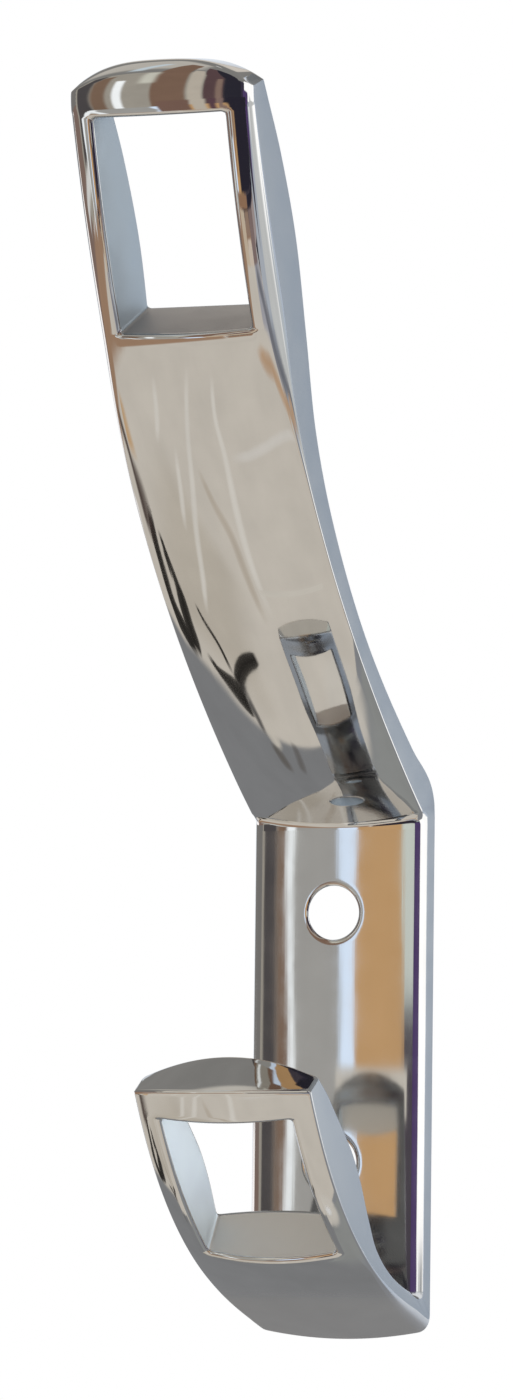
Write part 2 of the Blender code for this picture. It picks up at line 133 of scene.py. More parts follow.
# Lower hook, with stations as shares of its length
HOOK_REACH = 35.75 * MM
HOOK_TIP_HEIGHT = -6.5 * MM
HOOK_DROP = 4.35 * MM
HOOK_ROOT_LEAN = radians(74.3)
HOOK_TIP_LEAN = radians(29.9)
HOOK_PULL = 0.385
HOOK_CROWN = 1.7 * MM
HOOK_WALL_CROWN = 1.0 * MM
HOOK_CROWN_GROWN = 0.5
HOOK_INNER_CROWN = 1.0 * MM
HOOK_INNER_CROWN_START = 0.12
HOOK_INNER_CROWN_SPAN = 0.3
HOOK_BLADE_START = 0.15
HOOK_THICKNESS = (
    (0.1, 2.7 * MM), (0.28, 2.05 * MM), (0.41, 2.55 * MM), (0.5, 4.1 * MM),
    (0.61, 5.8 * MM), (0.73, 6.25 * MM), (0.92, 4.5 * MM), (1.0, 2.85 * MM),
)
HOOK_EDGE_ROUND = ((0.1, 1.4 * MM), (0.28, 0.7 * MM), (0.45, 0.3 * MM), (1.0, 0.3 * MM))
HOOK_INNER_ROUND = 0.4 * MM
HOOK_WALL_ROUND = 0.7 * MM
HOOK_STUB_ROUND = 0.2 * MM
HOOK_WINDOW_LENGTH = 19.2 * MM
HOOK_TIP_BAR = 3.25 * MM
HOOK_TIP_ARCH = 0.7 * MM
HOOK_TIP_BACK_ARCH = 1.9 * MM
HOOK_TIP_SLANT = 0.1 * MM
HOOK_TIP_ROUND = 0.3 * MM
HOOK_TIP_FULLNESS = 2.0
HOOK_CORNER_STEP = 1.2 * MM
HOOK_CORNER_FILLET = 1.9 * MM
HOOK_FILLET_START = 0.06
HOOK_FILLET_BLEND = 0.3

# Windows of both blades
WINDOW_HALF = 7.4 * MM
WINDOW_SIDE_RIM = 0.9 * MM
WINDOW_END_RIM = 0.45 * MM
WINDOW_RIM_DEPTH = 0.55 * MM
WINDOW_CORNER = 0.5 * MM
ROUND_OFF = 1e-9

# How finely the smooth surfaces are divided, per half section or per stretch
MIDDLE_COLUMNS = 9
CORNER_COLUMNS = 3
RIM_ROWS = 4
RIM_COLUMNS = 5
BAR_COLUMNS = 2
ARC_COLUMNS = 6
WINDOW_COLUMN = MIDDLE_COLUMNS + CORNER_COLUMNS
HALF_COLUMNS = WINDOW_COLUMN + RIM_COLUMNS + BAR_COLUMNS + ARC_COLUMNS
ROUNDING_PASSES = 5
SHARP_ANGLE = radians(40.0)

# Finishes' noise, and the middle part of a noise's range that is put to use
NOISE_SPAN = (0.3, 0.7)
CLOUD_SCALE = 260.0
WAVE_SCALE = 90.0
GRAIN_SCALE = 2600.0
GRAIN_HEIGHT = 0.01 * MM

# Stage: angles are in degrees, the sizes of screens and boards in millimetres
CHROME_REFLECTANCE = 0.66
STAGE_CENTRE = Vector((0.0, -20.0 * MM, 35.0 * MM))
FLOOR_HEIGHT = -2.6
FLOOR_HALF = 5.0
MOTTLE = 0.04
FAR_SCALE = 6.0
SCREEN_SCALE = 20.0
BOARD_SCALE = 60.0
FADE_STEPS = 4
CARD_STEP = 4.0
SCREEN_STEP = 3.0
SCREEN_FADE = 0.1
SCREEN_SWAY = 0.7
SCREEN_PERIOD = 9.0
SCREEN_TWIST = 0.3
BOARD_REACH = 78.0
HOOK_BOARD_REACH = 43.0
BOARD_SOFT = 1.0
BOARD_STEP = 10.0
RIBBON_STEPS = 8
RIBBON_ENDS = 4
CRISP_EDGE = (0.4, 0.95)
SOFT_EDGE = (0.25, 0.75)

# Finishes, by material slot
POLISH, SATIN, WALLS, ENDS, INSIDE = 0, 1, 2, 3, 4


def smooth_station(stations, t):
    """Read a smooth curve through (share, size) stations, flat past both ends."""
    if t <= stations[0][0]:
        return stations[0][1]
    last = len(stations) - 1
    for k in range(last):
        (t0, v0), (t1, v1) = stations[k], stations[k + 1]
        if t <= t1:
            before = stations[max(k - 1, 0)]
            after = stations[min(k + 2, last)]
            step = t1 - t0
            slope0 = (v1 - before[1]) / (t1 - before[0])
            slope1 = (after[1] - v0) / (after[0] - t0)
            u = (t - t0) / step
            return (
                v0 * (1 + 2 * u) * (1 - u) ** 2
                + slope0 * step * u * (1 - u) ** 2
                + v1 * u * u * (3 - 2 * u)
                + slope1 * step * u * u * (u - 1)
            )
    return stations[last][1]


class SideCurve:
    """A Bezier curve in the side view that starts and ends at given leans from the vertical."""

    STEPS = 2000

    def __init__(self, start, lean_start, pull_start, end, lean_end, pull_end):
        a, d = Vector(start), Vector(end)
        chord = (d - a).length
        b = a + Vector((sin(lean_start), cos(lean_start))) * chord * pull_start
        c = d - Vector((sin(lean_end), cos(lean_end))) * chord * pull_end
        self.controls = (a, b, c, d)
        self.lengths = [0.0]
        last = a
        for k in range(1, self.STEPS + 1):
            point = self.point(k / self.STEPS)
            self.lengths.append(self.lengths[-1] + (point - last).length)
            last = point
        self.length = self.lengths[-1]

    def point(self, t):
        a, b, c, d = self.controls
        return a * (1 - t) ** 3 + b * 3 * t * (1 - t) ** 2 + c * 3 * t * t * (1 - t) + d * t ** 3

    def at(self, s):
        """Point and outward normal at arc length s, straight on past both ends."""
        inside = min(max(s, 0.0), self.length)
        low = min(bisect_right(self.lengths, inside), self.STEPS) - 1
        step = self.lengths[low + 1] - self.lengths[low]
        t = (low + (inside - self.lengths[low]) / step) / self.STEPS
        a, b, c, d = self.controls
        slope = (b - a) * (1 - t) ** 2 + (c - b) * 2 * t * (1 - t) + (d - c) * t * t
        tangent = slope.normalized()
        return self.point(t) + tangent * (s - inside), Vector((tangent.y, -tangent.x))


def bulge(x, half):
    """1 on the centre line, 0 at both long edges."""
    return 1.0 - (x / half) ** 2


def place(x, side_point):
    return Vector((x, -side_point[0], side_point[1]))


def spread(start, end, count):
    """Count even steps from start to end, without the start itself."""
    return [start + (end - start) * k / count for k in range(1, count + 1)]


def ease(u):
    """From 0 to 1 with a flat start and a flat end."""
    return u * u * (3 - 2 * u)


def edge_rounding(half, radius, depth, crown):
    """First turn, x and centre height of the rounding that ends a crowned face."""
    turn, x = 0.0, half - radius
    for _ in range(ROUNDING_PASSES):
        turn = atan(2 * crown * x / half ** 2 * radius / depth)
        x = half - radius * (1 - sin(turn))
    return turn, x, crown * bulge(x, half) - depth * cos(turn)


def section(half, radius, crown, depth=None):
    """(x, rise) across a crowned face, from the left side to the right, with rounded long edges.

    With a depth of its own, the rounding reaches further down the sides than across the face.
    """
    depth = depth or radius
    tilt, edge, centre = edge_rounding(half, radius, depth, crown)
    flat_end = WINDOW_HALF - WINDOW_CORNER
    xs = [0.0] + spread(0.0, flat_end, MIDDLE_COLUMNS)
    xs += spread(flat_end, WINDOW_HALF, CORNER_COLUMNS)
    xs += [WINDOW_HALF + WINDOW_SIDE_RIM * (1 - cos(turn)) for turn in spread(0.0, 0.5 * pi, RIM_COLUMNS)]
    xs += spread(WINDOW_HALF + WINDOW_SIDE_RIM, edge, BAR_COLUMNS)
    right = [(x, crown * bulge(x, half)) for x in xs]
    for turn in spread(tilt, 0.5 * pi, ARC_COLUMNS):
        right.append((half - radius + radius * sin(turn), centre + depth * cos(turn)))
    return [(-x, rise) for x, rise in right[:0:-1]] + right


class Window:
    """A rectangular window with filleted corners and softened rims, in blade coordinates."""

    def __init__(self, low, high):
        self.low = low
        self.high = high

    def rim(self, x, s):
        """How far the surface has dropped at a point on the window's softened rim."""
        across = max(abs(x) - WINDOW_HALF, 0.0) / WINDOW_SIDE_RIM
        along = max(self.low - s, s - self.high, 0.0) / WINDOW_END_RIM
        share = min(hypot(across, along), 1.0)
        return WINDOW_RIM_DEPTH * (1 - sqrt(max(1 - (1 - share) ** 2, 0.0)))

    def bend(self, x, s):
        """Move a grid point near a corner so that the window's outline follows a fillet."""
        for end, way in ((self.high, 1.0), (self.low, -1.0)):
            p = abs(x) - (WINDOW_HALF - WINDOW_CORNER)
            q = way * (s - end) + WINDOW_CORNER
            outside = max(p, q) - WINDOW_CORNER
            if p <= 0 or q <= 0 or outside < -ROUND_OFF or outside > WINDOW_SIDE_RIM:
                continue
            share = min(p, q) / max(p, q)
            turn = 0.25 * pi * share
            shift_far = WINDOW_CORNER * (cos(turn) - 1)
            shift_near = WINDOW_CORNER * (sin(turn) - share)
            fade = (1 - outside / WINDOW_SIDE_RIM) ** 2
            dx, ds = (shift_far, shift_near) if p >= q else (shift_near, shift_far)
            return x + (fade * dx if x > 0 else -fade * dx), s + way * fade * ds
        return x, s

    def row(self, across, s, surface):
        """A row of points at station s, bent round the window's corners and sunk at its rims."""
        points = []
        for x, rise in across:
            bent_x, bent_s = self.bend(x, s)
            points.append(place(bent_x, surface(bent_s, rise - self.rim(x, s))))
        return points

    def stations(self, start, root_steps, window_steps):
        """Stations from start to just past the window, and where its two ends are among them."""
        turns = spread(0.0, 0.5 * pi, RIM_ROWS)
        found = spread(start, self.low - WINDOW_END_RIM, root_steps)
        found += [self.low - WINDOW_END_RIM * (1 - sin(turn)) for turn in turns]
        low_place = len(found) - 1
        found += spread(self.low, self.low + WINDOW_CORNER, CORNER_COLUMNS)
        found += spread(self.low + WINDOW_CORNER, self.high - WINDOW_CORNER, window_steps)
        found += spread(self.high - WINDOW_CORNER, self.high, CORNER_COLUMNS)
        high_place = len(found) - 1
        found += [self.high + WINDOW_END_RIM * (1 - cos(turn)) for turn in turns]
        return found, low_place, high_place


def rounded(before, corner, after, u):
    """A point of a rounded corner, with u from 0 at its start to 1 at its end."""
    return before * (1 - u) ** 2 + corner * 2 * u * (1 - u) + after * u * u


def corner_arc(before, corner, after, count):
    """Points of a rounded corner, without its first point."""
    return [rounded(before, corner, after, u) for u in spread(0.0, 1.0, count)]


def towards(start, end, distance):
    return start + (end - start).normalized() * distance


def tip_bar(start, length, half, corner, fullness):
    """A function for points of the bar past a window, further out in the middle, with rounded corners."""
    def point(part, x_rise, arch, surface, slant=0.0):
        x, rise = x_rise
        left_over = max(1 - part, 0.0) * length
        narrow = 1.0
        if left_over < corner:
            narrow -= (corner - sqrt(corner ** 2 - (corner - left_over) ** 2)) / half
        arched = 1 - (min(abs(x), half) / half) ** fullness
        return place(x * narrow, surface(start + part * (length + slant + arch * arched), rise))

    return point


def end_caps(tops, rears, outer_row, inner_row, rounds, counts):
    """Rows across a blade's end, from its last outer row to its last inner row.

    Tops and rears are the points of the end's two sharp corners, which are rounded off.
    """
    columns = []
    for top, rear, first, last in zip(tops, rears, outer_row, inner_row):
        near_end = towards(top, rear, rounds[0])
        far_start = towards(rear, top, rounds[1])
        column = corner_arc(first, top, near_end, counts[0])
        column += [near_end.lerp(far_start, u) for u in spread(0.0, 1.0, counts[1])]
        column += corner_arc(far_start, rear, last, counts[2])[:-1]
        columns.append(column)
    return [list(row) for row in zip(*columns)]


def link(name, data):
    obj = bpy.data.objects.new(name, data)
    bpy.context.scene.collection.objects.link(obj)
    return obj


def mesh_from(name, bm):
    mesh = bpy.data.meshes.new(name)
    bm.to_mesh(mesh)
    bm.free()
    return mesh


def blade(name, outer_rows, inner_rows, cap_rows, low, high, inner_finish):
    """Loft matching rows into one closed body with a window between rows low and high."""
    bm = bmesh.new()
    outer = [[bm.verts.new(p) for p in row] for row in outer_rows]
    inner = [[bm.verts.new(p) for p in row] for row in inner_rows]
    caps = [[bm.verts.new(p) for p in row] for row in cap_rows]
    last_row, last_col = len(outer) - 1, 2 * HALF_COLUMNS
    left, right = HALF_COLUMNS - WINDOW_COLUMN, HALF_COLUMNS + WINDOW_COLUMN

    def face(ring, finish, flip=False):
        made = bm.faces.new(ring[::-1] if flip else ring)
        made.material_index = finish

    for i in range(last_row):
        for j in range(last_col):
            if low <= i < high and left <= j < right:
                continue
            face((outer[i][j], outer[i][j + 1], outer[i + 1][j + 1], outer[i + 1][j]), POLISH)
            face((inner[i][j], inner[i + 1][j], inner[i + 1][j + 1], inner[i][j + 1]), inner_finish)
    for j, span, flip, finish in (
        (last_col, range(last_row), False, SATIN),
        (0, range(last_row), True, SATIN),
        (left, range(low, high), False, WALLS),
        (right, range(low, high), True, WALLS),
    ):
        for i in span:
            face((outer[i][j], inner[i][j], inner[i + 1][j], outer[i + 1][j]), finish, flip)
    for i, flip in ((high, False), (low, True)):
        for j in range(left, right):
            face((outer[i][j], inner[i][j], inner[i][j + 1], outer[i][j + 1]), ENDS, flip)
    for j in range(last_col):
        face((outer[0][j], inner[0][j], inner[0][j + 1], outer[0][j + 1]), SATIN)
    over = [outer[last_row]] + caps + [inner[last_row]]
    for i in range(len(over) - 1):
        for j in range(last_col):
            face((over[i][j], over[i][j + 1], over[i + 1][j + 1], over[i + 1][j]), POLISH)
    for j, flip in ((last_col, True), (0, False)):
        face([row[j] for row in over], SATIN, flip)
    bmesh.ops.recalc_face_normals(bm, faces=bm.faces)
    return link(name, mesh_from(name, bm))


def box(name, low, high):
    size = Vector(high) - Vector(low)
    bm = bmesh.new()
    bmesh.ops.create_cube(bm, size=1.0)
    bmesh.ops.scale(bm, vec=size, verts=bm.verts)
    bmesh.ops.translate(bm, vec=(Vector(high) + Vector(low)) * 0.5, verts=bm.verts)
    for made in bm.faces:
        made.material_index = SATIN
    return link(name, mesh_from(name, bm))


def turned(name, profile, height, sides=64):
    """A closed body turned about a line along Y at a given height, from (radius, reach) stations."""
    bm = bmesh.new()
    rings = []
    for radius, reach in profile:
        ring = []
        for k in range(sides):
            turn = 2 * pi * k / sides
            ring.append(bm.verts.new((radius * cos(turn), -reach, height + radius * sin(turn))))
        rings.append(ring)
    for near, far in zip(rings, rings[1:]):
        for k in range(sides):
            m = (k + 1) % sides
            bm.faces.new((near[k], near[m], far[m], far[k]))
    bm.faces.new(rings[0])
    bm.faces.new(rings[-1])
    bmesh.ops.recalc_face_normals(bm, faces=bm.faces)
    for made in bm.faces:
        made.material_index = SATIN
    return link(name, mesh_from(name, bm))


def coat(obj, materials):
    """Give a body its finishes, before any cut so that every face keeps its own."""
    for material in materials:
        obj.data.materials.append(material)


def combine(obj, steps):
    """Apply boolean steps to a piece's mesh and drop the bodies that were used."""
    for other, operation in steps:
        coat(other, obj.data.materials)
        step = obj.modifiers.new(other.name, "BOOLEAN")
        step.operation = operation
        step.object = other
    solid = bpy.data.meshes.new_from_object(obj.evaluated_get(bpy.context.evaluated_depsgraph_get()))
    obj.modifiers.clear()
    obj.data = solid
    for other, _ in steps:
        bpy.data.objects.remove(other, do_unlink=True)


def arm():
    """The upper arm, from the seam on the plate up over the rolled tip."""
    crease = PLATE_TOP + CREASE_RISE
    curve = SideCurve(
        (PLATE_EDGE, crease), ARM_ROOT_LEAN, ARM_ROOT_PULL,
        (ARM_REACH, ARM_TIP_HEIGHT), ARM_TIP_LEAN, ARM_TIP_PULL,
    )
    length = curve.length
    high = length - ARM_TIP_BAR
    roll_start = high + WINDOW_END_RIM
    window = Window(high - ARM_WINDOW_LENGTH, high)
    along_root = Vector((sin(ARM_ROOT_LEAN), cos(ARM_ROOT_LEAN)))

    def half_width(s):
        share = min(max(s / length, 0.0), 1.0)
        return 0.5 * (WIDTH + (ARM_TIP_WIDTH - WIDTH) * share)

    def crown(s):
        return smooth_station(ARM_CROWN, s / length)

    def face_section(s, half):
        share = s / length
        radius, depth = smooth_station(ARM_EDGE_ROUND, share), smooth_station(ARM_EDGE_DEPTH, share)
        return section(half, radius, crown(s), depth)

    def front(s, rise):
        """A point of the front, which rolls back past roll_start."""
        point, normal = curve.at(min(s, roll_start))
        along = Vector((-normal.y, normal.x))
        turn = max(s - roll_start, 0.0) / ARM_TIP_ROLL
        rolled = normal * cos(turn) + along * sin(turn)
        return point + (rolled - normal) * ARM_TIP_ROLL + rolled * rise

    def back(s, rise):
        point, normal = curve.at(s)
        return point - normal * (smooth_station(ARM_THICKNESS, s / length) + rise)

    outer, inner = [], []
    stub = section(0.5 * WIDTH, PLATE_ROUND, PLATE_CREST - PLATE_EDGE)
    wall = section(0.5 * WIDTH, ARM_BACK_ROUND, 0.0)
    heel_base = crease + ARM_HEEL_LIFT
    heel_end = ARM_HEEL_END * length
    first_blade = ARM_BLADE_START * length

    def root_inner(s):
        """The back near the root: up the wall, round the heel, then onto the blade's back."""
        if s <= heel_end:
            turn = ARM_HEEL_TURN * max(s, 0.0) / heel_end
            point = Vector((ARM_HEEL * (1 - cos(turn)), heel_base + ARM_HEEL * sin(turn)))
            return point, Vector((cos(turn), -sin(turn)))
        a = Vector((ARM_HEEL * (1 - cos(ARM_HEEL_TURN)), heel_base + ARM_HEEL * sin(ARM_HEEL_TURN)))
        b = back(first_blade, 0.0)
        u = (s - heel_end) / (first_blade - heel_end)
        share = ease(u)
        step = b - a
        ahead = 0.1 * MM
        start = Vector((sin(ARM_HEEL_TURN), cos(ARM_HEEL_TURN))) * step.length
        end = (back(first_blade + ahead, 0.0) - b).normalized() * step.length
        point = a * (1 - share) + b * share + start * (u * (1 - u) ** 2) - end * (u * u * (1 - u))
        return point, curve.at(s)[1]

    # The stub that carries on the plate's face, then the crease's small fillet
    for height in (PLATE_TOP, PLATE_TOP + CREASE_STUB):
        outer.append([place(x, (PLATE_EDGE + rise, height)) for x, rise in stub])
        inner.append([place(x, (max(-rise - ARM_BACK_ROUND, 0.0), height)) for x, rise in wall])
    fillet_steps = 6
    for k in range(fillet_steps + 1):
        u = k / fillet_steps
        radius = PLATE_ROUND + (ARM_EDGE_ROUND[0][1] - PLATE_ROUND) * u
        mixed = PLATE_CREST - PLATE_EDGE
        mixed += (crown(0.0) - mixed) * u
        row = []
        for x, rise in section(0.5 * WIDTH, radius, mixed):
            start, normal = curve.at(0.0)
            leaving = start + normal * rise
            meet = leaving + along_root * ((PLATE_EDGE + rise - leaving.x) / along_root.x)
            below = meet - Vector((0.0, CREASE_FILLET))
            above = meet + along_root * CREASE_FILLET
            row.append(place(x, rounded(below, meet, above, u)))
        outer.append(row)
        height = PLATE_TOP + CREASE_RISE * (0.5 + 0.5 * u)
        inner.append([place(x, (0.0, height)) for x, _ in wall])

    root_stations = spread(ARM_FIRST_STATION, heel_end, 8) + spread(heel_end, first_blade, 5)
    stations, low_place, high_place = window.stations(first_blade, root_steps=62, window_steps=24)
    first_row = len(outer) + len(root_stations)
    for s in root_stations + stations:
        half = half_width(s)
        outer.append(window.row(face_section(s, half), s, front))
        across = section(half, ARM_BACK_ROUND, 0.0)
        if s < first_blade:
            point, normal = root_inner(s)
            softened = min(s / heel_end, 1.0)
            inner.append([place(x, point + normal * -rise * softened) for x, rise in across])
        else:
            inner.append(window.row(across, s, back))

    tip_half = 0.5 * ARM_TIP_WIDTH
    tip = tip_bar(high, ARM_TIP_BAR, tip_half, ARM_TIP_CORNER, ARM_TIP_FULLNESS)
    over = face_section(length, tip_half)
    under = section(tip_half, ARM_BACK_ROUND, 0.0)
    start_part = WINDOW_END_RIM / ARM_TIP_BAR
    round_part = 1 - ARM_TIP_ROUND / ARM_TIP_BAR
    for part in spread(start_part, round_part, 10) + [1.0]:
        eased = ease(min((part - start_part) / (round_part - start_part), 1.0))
        outer.append([tip(part, c, ARM_TIP_ARCH, front) for c in over])
        inner.append([tip(part, c, ARM_TIP_BACK_ARCH * eased, back) for c in under])
    tops, rears = outer.pop(), inner.pop()
    rounds = (ARM_TIP_ROUND, ARM_TIP_BACK_ROUND)
    caps = end_caps(tops, rears, outer[-1], inner[-1], rounds, counts=(6, 1, 4))
    window_rows = (first_row + low_place, first_row + high_place)
    return blade("upper_arm_blade", outer, inner, caps, *window_rows, SATIN)


def hook():
    """The lower hook, from the seam under the plate out to the tip."""
    half = 0.5 * WIDTH
    lowest = PLATE_BOTTOM - HOOK_DROP
    curve = SideCurve(
        (0.0, lowest), HOOK_ROOT_LEAN, HOOK_PULL,
        (HOOK_REACH, HOOK_TIP_HEIGHT), HOOK_TIP_LEAN, HOOK_PULL,
    )
    length = curve.length
    high = length - HOOK_TIP_BAR
    window = Window(high - HOOK_WINDOW_LENGTH, high)
    first_blade = HOOK_BLADE_START * length
    along_root = Vector((sin(HOOK_ROOT_LEAN), cos(HOOK_ROOT_LEAN)))

    def crown(s):
        grown = min(max(s, 0.0) / (HOOK_CROWN_GROWN * length), 1.0)
        return HOOK_WALL_CROWN + (HOOK_CROWN - HOOK_WALL_CROWN) * grown

    def inner_crown(s):
        past = max(s / length - HOOK_INNER_CROWN_START, 0.0)
        return HOOK_INNER_CROWN * min(past / HOOK_INNER_CROWN_SPAN, 1.0)

    def outer_section(s):
        return section(half, smooth_station(HOOK_EDGE_ROUND, s / length), crown(s))

    def outside(s, rise):
        point, normal = curve.at(s)
        return point + normal * rise

    def inside(s, rise):
        point, normal = curve.at(s)
        return point - normal * (smooth_station(HOOK_THICKNESS, s / length) + rise)

    stub = section(half, PLATE_ROUND, PLATE_CREST - PLATE_EDGE)
    wall = section(half, HOOK_STUB_ROUND, 0.0)
    corner_height = PLATE_BOTTOM - HOOK_CORNER_STEP
    root_outer = outer_section(0.0)
    first_inner = section(half, HOOK_INNER_ROUND, inner_crown(first_blade))

    outer = [[place(x, (max(-rise - HOOK_STUB_ROUND, 0.0), PLATE_BOTTOM)) for x, rise in wall]]
    inner = [[place(x, (PLATE_EDGE + rise, PLATE_BOTTOM)) for x, rise in stub]]

    # Round the wall corner below while the fillet above turns out of the plate's face
    steps = 8
    for k in range(steps + 1):
        u = k / steps
        row = []
        for x, rise in root_outer:
            start = outside(0.0, rise)
            base = Vector((0.0, start.y - start.x / tan(HOOK_ROOT_LEAN)))
            up = base + Vector((0.0, HOOK_WALL_ROUND))
            out = base + along_root * HOOK_WALL_ROUND
            row.append(place(x, rounded(up, base, out, u)))
        outer.append(row)
        row = []
        for (x, rise), (end_x, end_rise) in zip(stub, first_inner):
            corner = Vector((PLATE_EDGE + rise, corner_height))
            up = corner + Vector((0.0, HOOK_CORNER_STEP * (1 - HOOK_FILLET_START)))
            end = inside(first_blade, end_rise)
            out = towards(corner, end, HOOK_CORNER_FILLET)
            row.append(place(x + (end_x - x) * u * HOOK_FILLET_BLEND, rounded(up, corner, out, u)))
        inner.append(row)
    fillet_row = inner[-1]

    end_row = [place(x, inside(first_blade, rise)) for x, rise in first_inner]
    root_steps = 10
    for k in range(1, root_steps):
        u = k / root_steps
        s = HOOK_WALL_ROUND + (first_blade - HOOK_WALL_ROUND) * u
        outer.append([place(x, outside(s, rise)) for x, rise in outer_section(s)])
        inner.append([a * (1 - u) + b * u for a, b in zip(fillet_row, end_row)])

    stations, low_place, high_place = window.stations(first_blade, root_steps=24, window_steps=22)
    stations.insert(0, first_blade)
    first_row = len(outer) + 1
    for s in stations:
        outer.append(window.row(outer_section(s), s, outside))
        inner.append(window.row(section(half, HOOK_INNER_ROUND, inner_crown(s)), s, inside))

    tip = tip_bar(high, HOOK_TIP_BAR, half, HOOK_TIP_ROUND, HOOK_TIP_FULLNESS)
    over = outer_section(length)
    under = section(half, HOOK_INNER_ROUND, inner_crown(length))
    for part in spread(WINDOW_END_RIM / HOOK_TIP_BAR, 1 - HOOK_TIP_ROUND / HOOK_TIP_BAR, 8) + [1.0]:
        outer.append([tip(part, c, HOOK_TIP_ARCH, outside) for c in over])
        inner.append([tip(part, c, HOOK_TIP_BACK_ARCH, inside, HOOK_TIP_SLANT) for c in under])
    tops, rears = outer.pop(), inner.pop()
    rounds = (HOOK_TIP_ROUND, HOOK_TIP_ROUND)
    caps = end_caps(tops, rears, outer[-1], inner[-1], rounds, counts=(5, 4, 5))
    window_rows = (first_row + low_place, first_row + high_place)
    return blade("lower_hook_blade", outer, inner, caps, *window_rows, INSIDE)


def plate():
    """The wall plate: crowned front with two softly lipped holes, flat back."""
    half = 0.5 * WIDTH
    per_side = 16
    crown = PLATE_CREST - PLATE_EDGE
    tilt, edge, centre = edge_rounding(half, PLATE_ROUND, PLATE_ROUND, crown)

    def face_reach(x):
        return PLATE_EDGE + crown * bulge(x, half)

    xs = [0.0] + spread(0.0, HOLE_PATCH, per_side // 2) + spread(HOLE_PATCH, edge, 5)
    right = [(x, face_reach(x)) for x in xs]
    for turn in spread(tilt, 0.5 * pi, 8):
        x = half - PLATE_ROUND + PLATE_ROUND * sin(turn)
        right.append((x, PLATE_EDGE + centre + PLATE_ROUND * cos(turn)))
    columns = [(-x, reach) for x, reach in right[:0:-1]] + right
    middle = len(right) - 1
    patch_left, patch_right = middle - per_side // 2, middle + per_side // 2

    centres = (-0.5 * HOLE_SPACING, 0.5 * HOLE_SPACING)
    heights = [PLATE_BOTTOM]
    starts = []
    for height, rows_below in zip(centres, (6, 14)):
        heights += spread(heights[-1], height - HOLE_PATCH, rows_below)
        starts.append(len(heights) - 1)
        heights += spread(height - HOLE_PATCH, height + HOLE_PATCH, per_side)
    heights += spread(heights[-1], PLATE_TOP, 4)

    bm = bmesh.new()
    front = [[bm.verts.new((x, -reach, z)) for x, reach in columns] for z in heights]
    rear = [[bm.verts.new((x, 0.0, z)) for x, _ in columns] for z in heights]
    last_row, last_col = len(heights) - 1, len(columns) - 1

    def face(ring, finish):
        bm.faces.new(ring).material_index = finish

    def in_patch(i, j):
        rows = any(start <= i < start + per_side for start in starts)
        return rows and patch_left <= j < patch_right

    for i in range(last_row):
        for j in range(last_col):
            if in_patch(i, j):
                continue
            face((front[i][j], front[i][j + 1], front[i + 1][j + 1], front[i + 1][j]), POLISH)
            face((rear[i][j], rear[i + 1][j], rear[i + 1][j + 1], rear[i][j + 1]), SATIN)
        for j in (0, last_col):
            face((front[i][j], front[i + 1][j], rear[i + 1][j], rear[i][j]), SATIN)
    for i in (0, last_row):
        for j in range(last_col):
            face((front[i][j], front[i][j + 1], rear[i][j + 1], rear[i][j]), SATIN)

    def hole_ring(height, border, radius, share=0.0, sunk=0.0, reach=None):
        """Vertices round a hole, a share of the way to its patch's border, on the face without a reach."""
        made = []
        for i, j in border:
            x, z = columns[j][0], heights[i]
            angle = atan2(z - height, x)
            x = radius * cos(angle) * (1 - share) + x * share
            z = (height + radius * sin(angle)) * (1 - share) + z * share
            out = face_reach(x) - sunk if reach is None else reach
            made.append(bm.verts.new((x, -out, z)))
        return made

    # Rings round each hole, crowded towards its lip, and the wall down to the back
    crowding = 1.4
    for start, height in zip(starts, centres):
        border = [(start, patch_left + k) for k in range(per_side)]
        border += [(start + k, patch_right) for k in range(per_side)]
        border += [(start + per_side, patch_right - k) for k in range(per_side)]
        border += [(start + per_side - k, patch_left) for k in range(per_side)]
        front_rings = []
        for turn in [0.0] + spread(0.0, 0.5 * pi, 6):
            radius = HOLE_RADIUS + HOLE_LIP_WIDTH * (1 - cos(turn))
            front_rings.append(hole_ring(height, border, radius, sunk=HOLE_LIP * (1 - sin(turn))))
        for share in spread(0.0, 1.0, 6)[:-1]:
            front_rings.append(hole_ring(height, border, HOLE_RADIUS + HOLE_LIP_WIDTH, share ** crowding))
        front_rings.append([front[i][j] for i, j in border])
        rear_rings = [front_rings[0]]
        wide = HOLE_RADIUS + HOLE_RELIEF
        throat = PLATE_CREST - HOLE_LIP - HOLE_WALL
        for radius, reach in ((HOLE_RADIUS, throat), (wide, RECESS_DEPTH), (wide, 0.0)):
            rear_rings.append(hole_ring(height, border, radius, reach=reach))
        rear_rings.append([rear[i][j] for i, j in border])
        count = len(border)
        for k in range(count):
            m = (k + 1) % count
            for near, far in zip(front_rings, front_rings[1:]):
                face((near[k], near[m], far[m], far[k]), POLISH)
            for near, far in zip(rear_rings, rear_rings[1:]):
                face((near[k], near[m], far[m], far[k]), WALLS)
    bmesh.ops.recalc_face_normals(bm, faces=bm.faces)
    return link("wall_plate_body", mesh_from("wall_plate_body", bm))


def clearance_radius():
    return HOLE_RADIUS + PLATE_CREST * tan(HOLE_CLEARANCE_LEAN)


def screw_height():
    return 0.5 * (0.5 * CENTRE_LAND + FIT + 0.5 * HOLE_SPACING - clearance_radius())


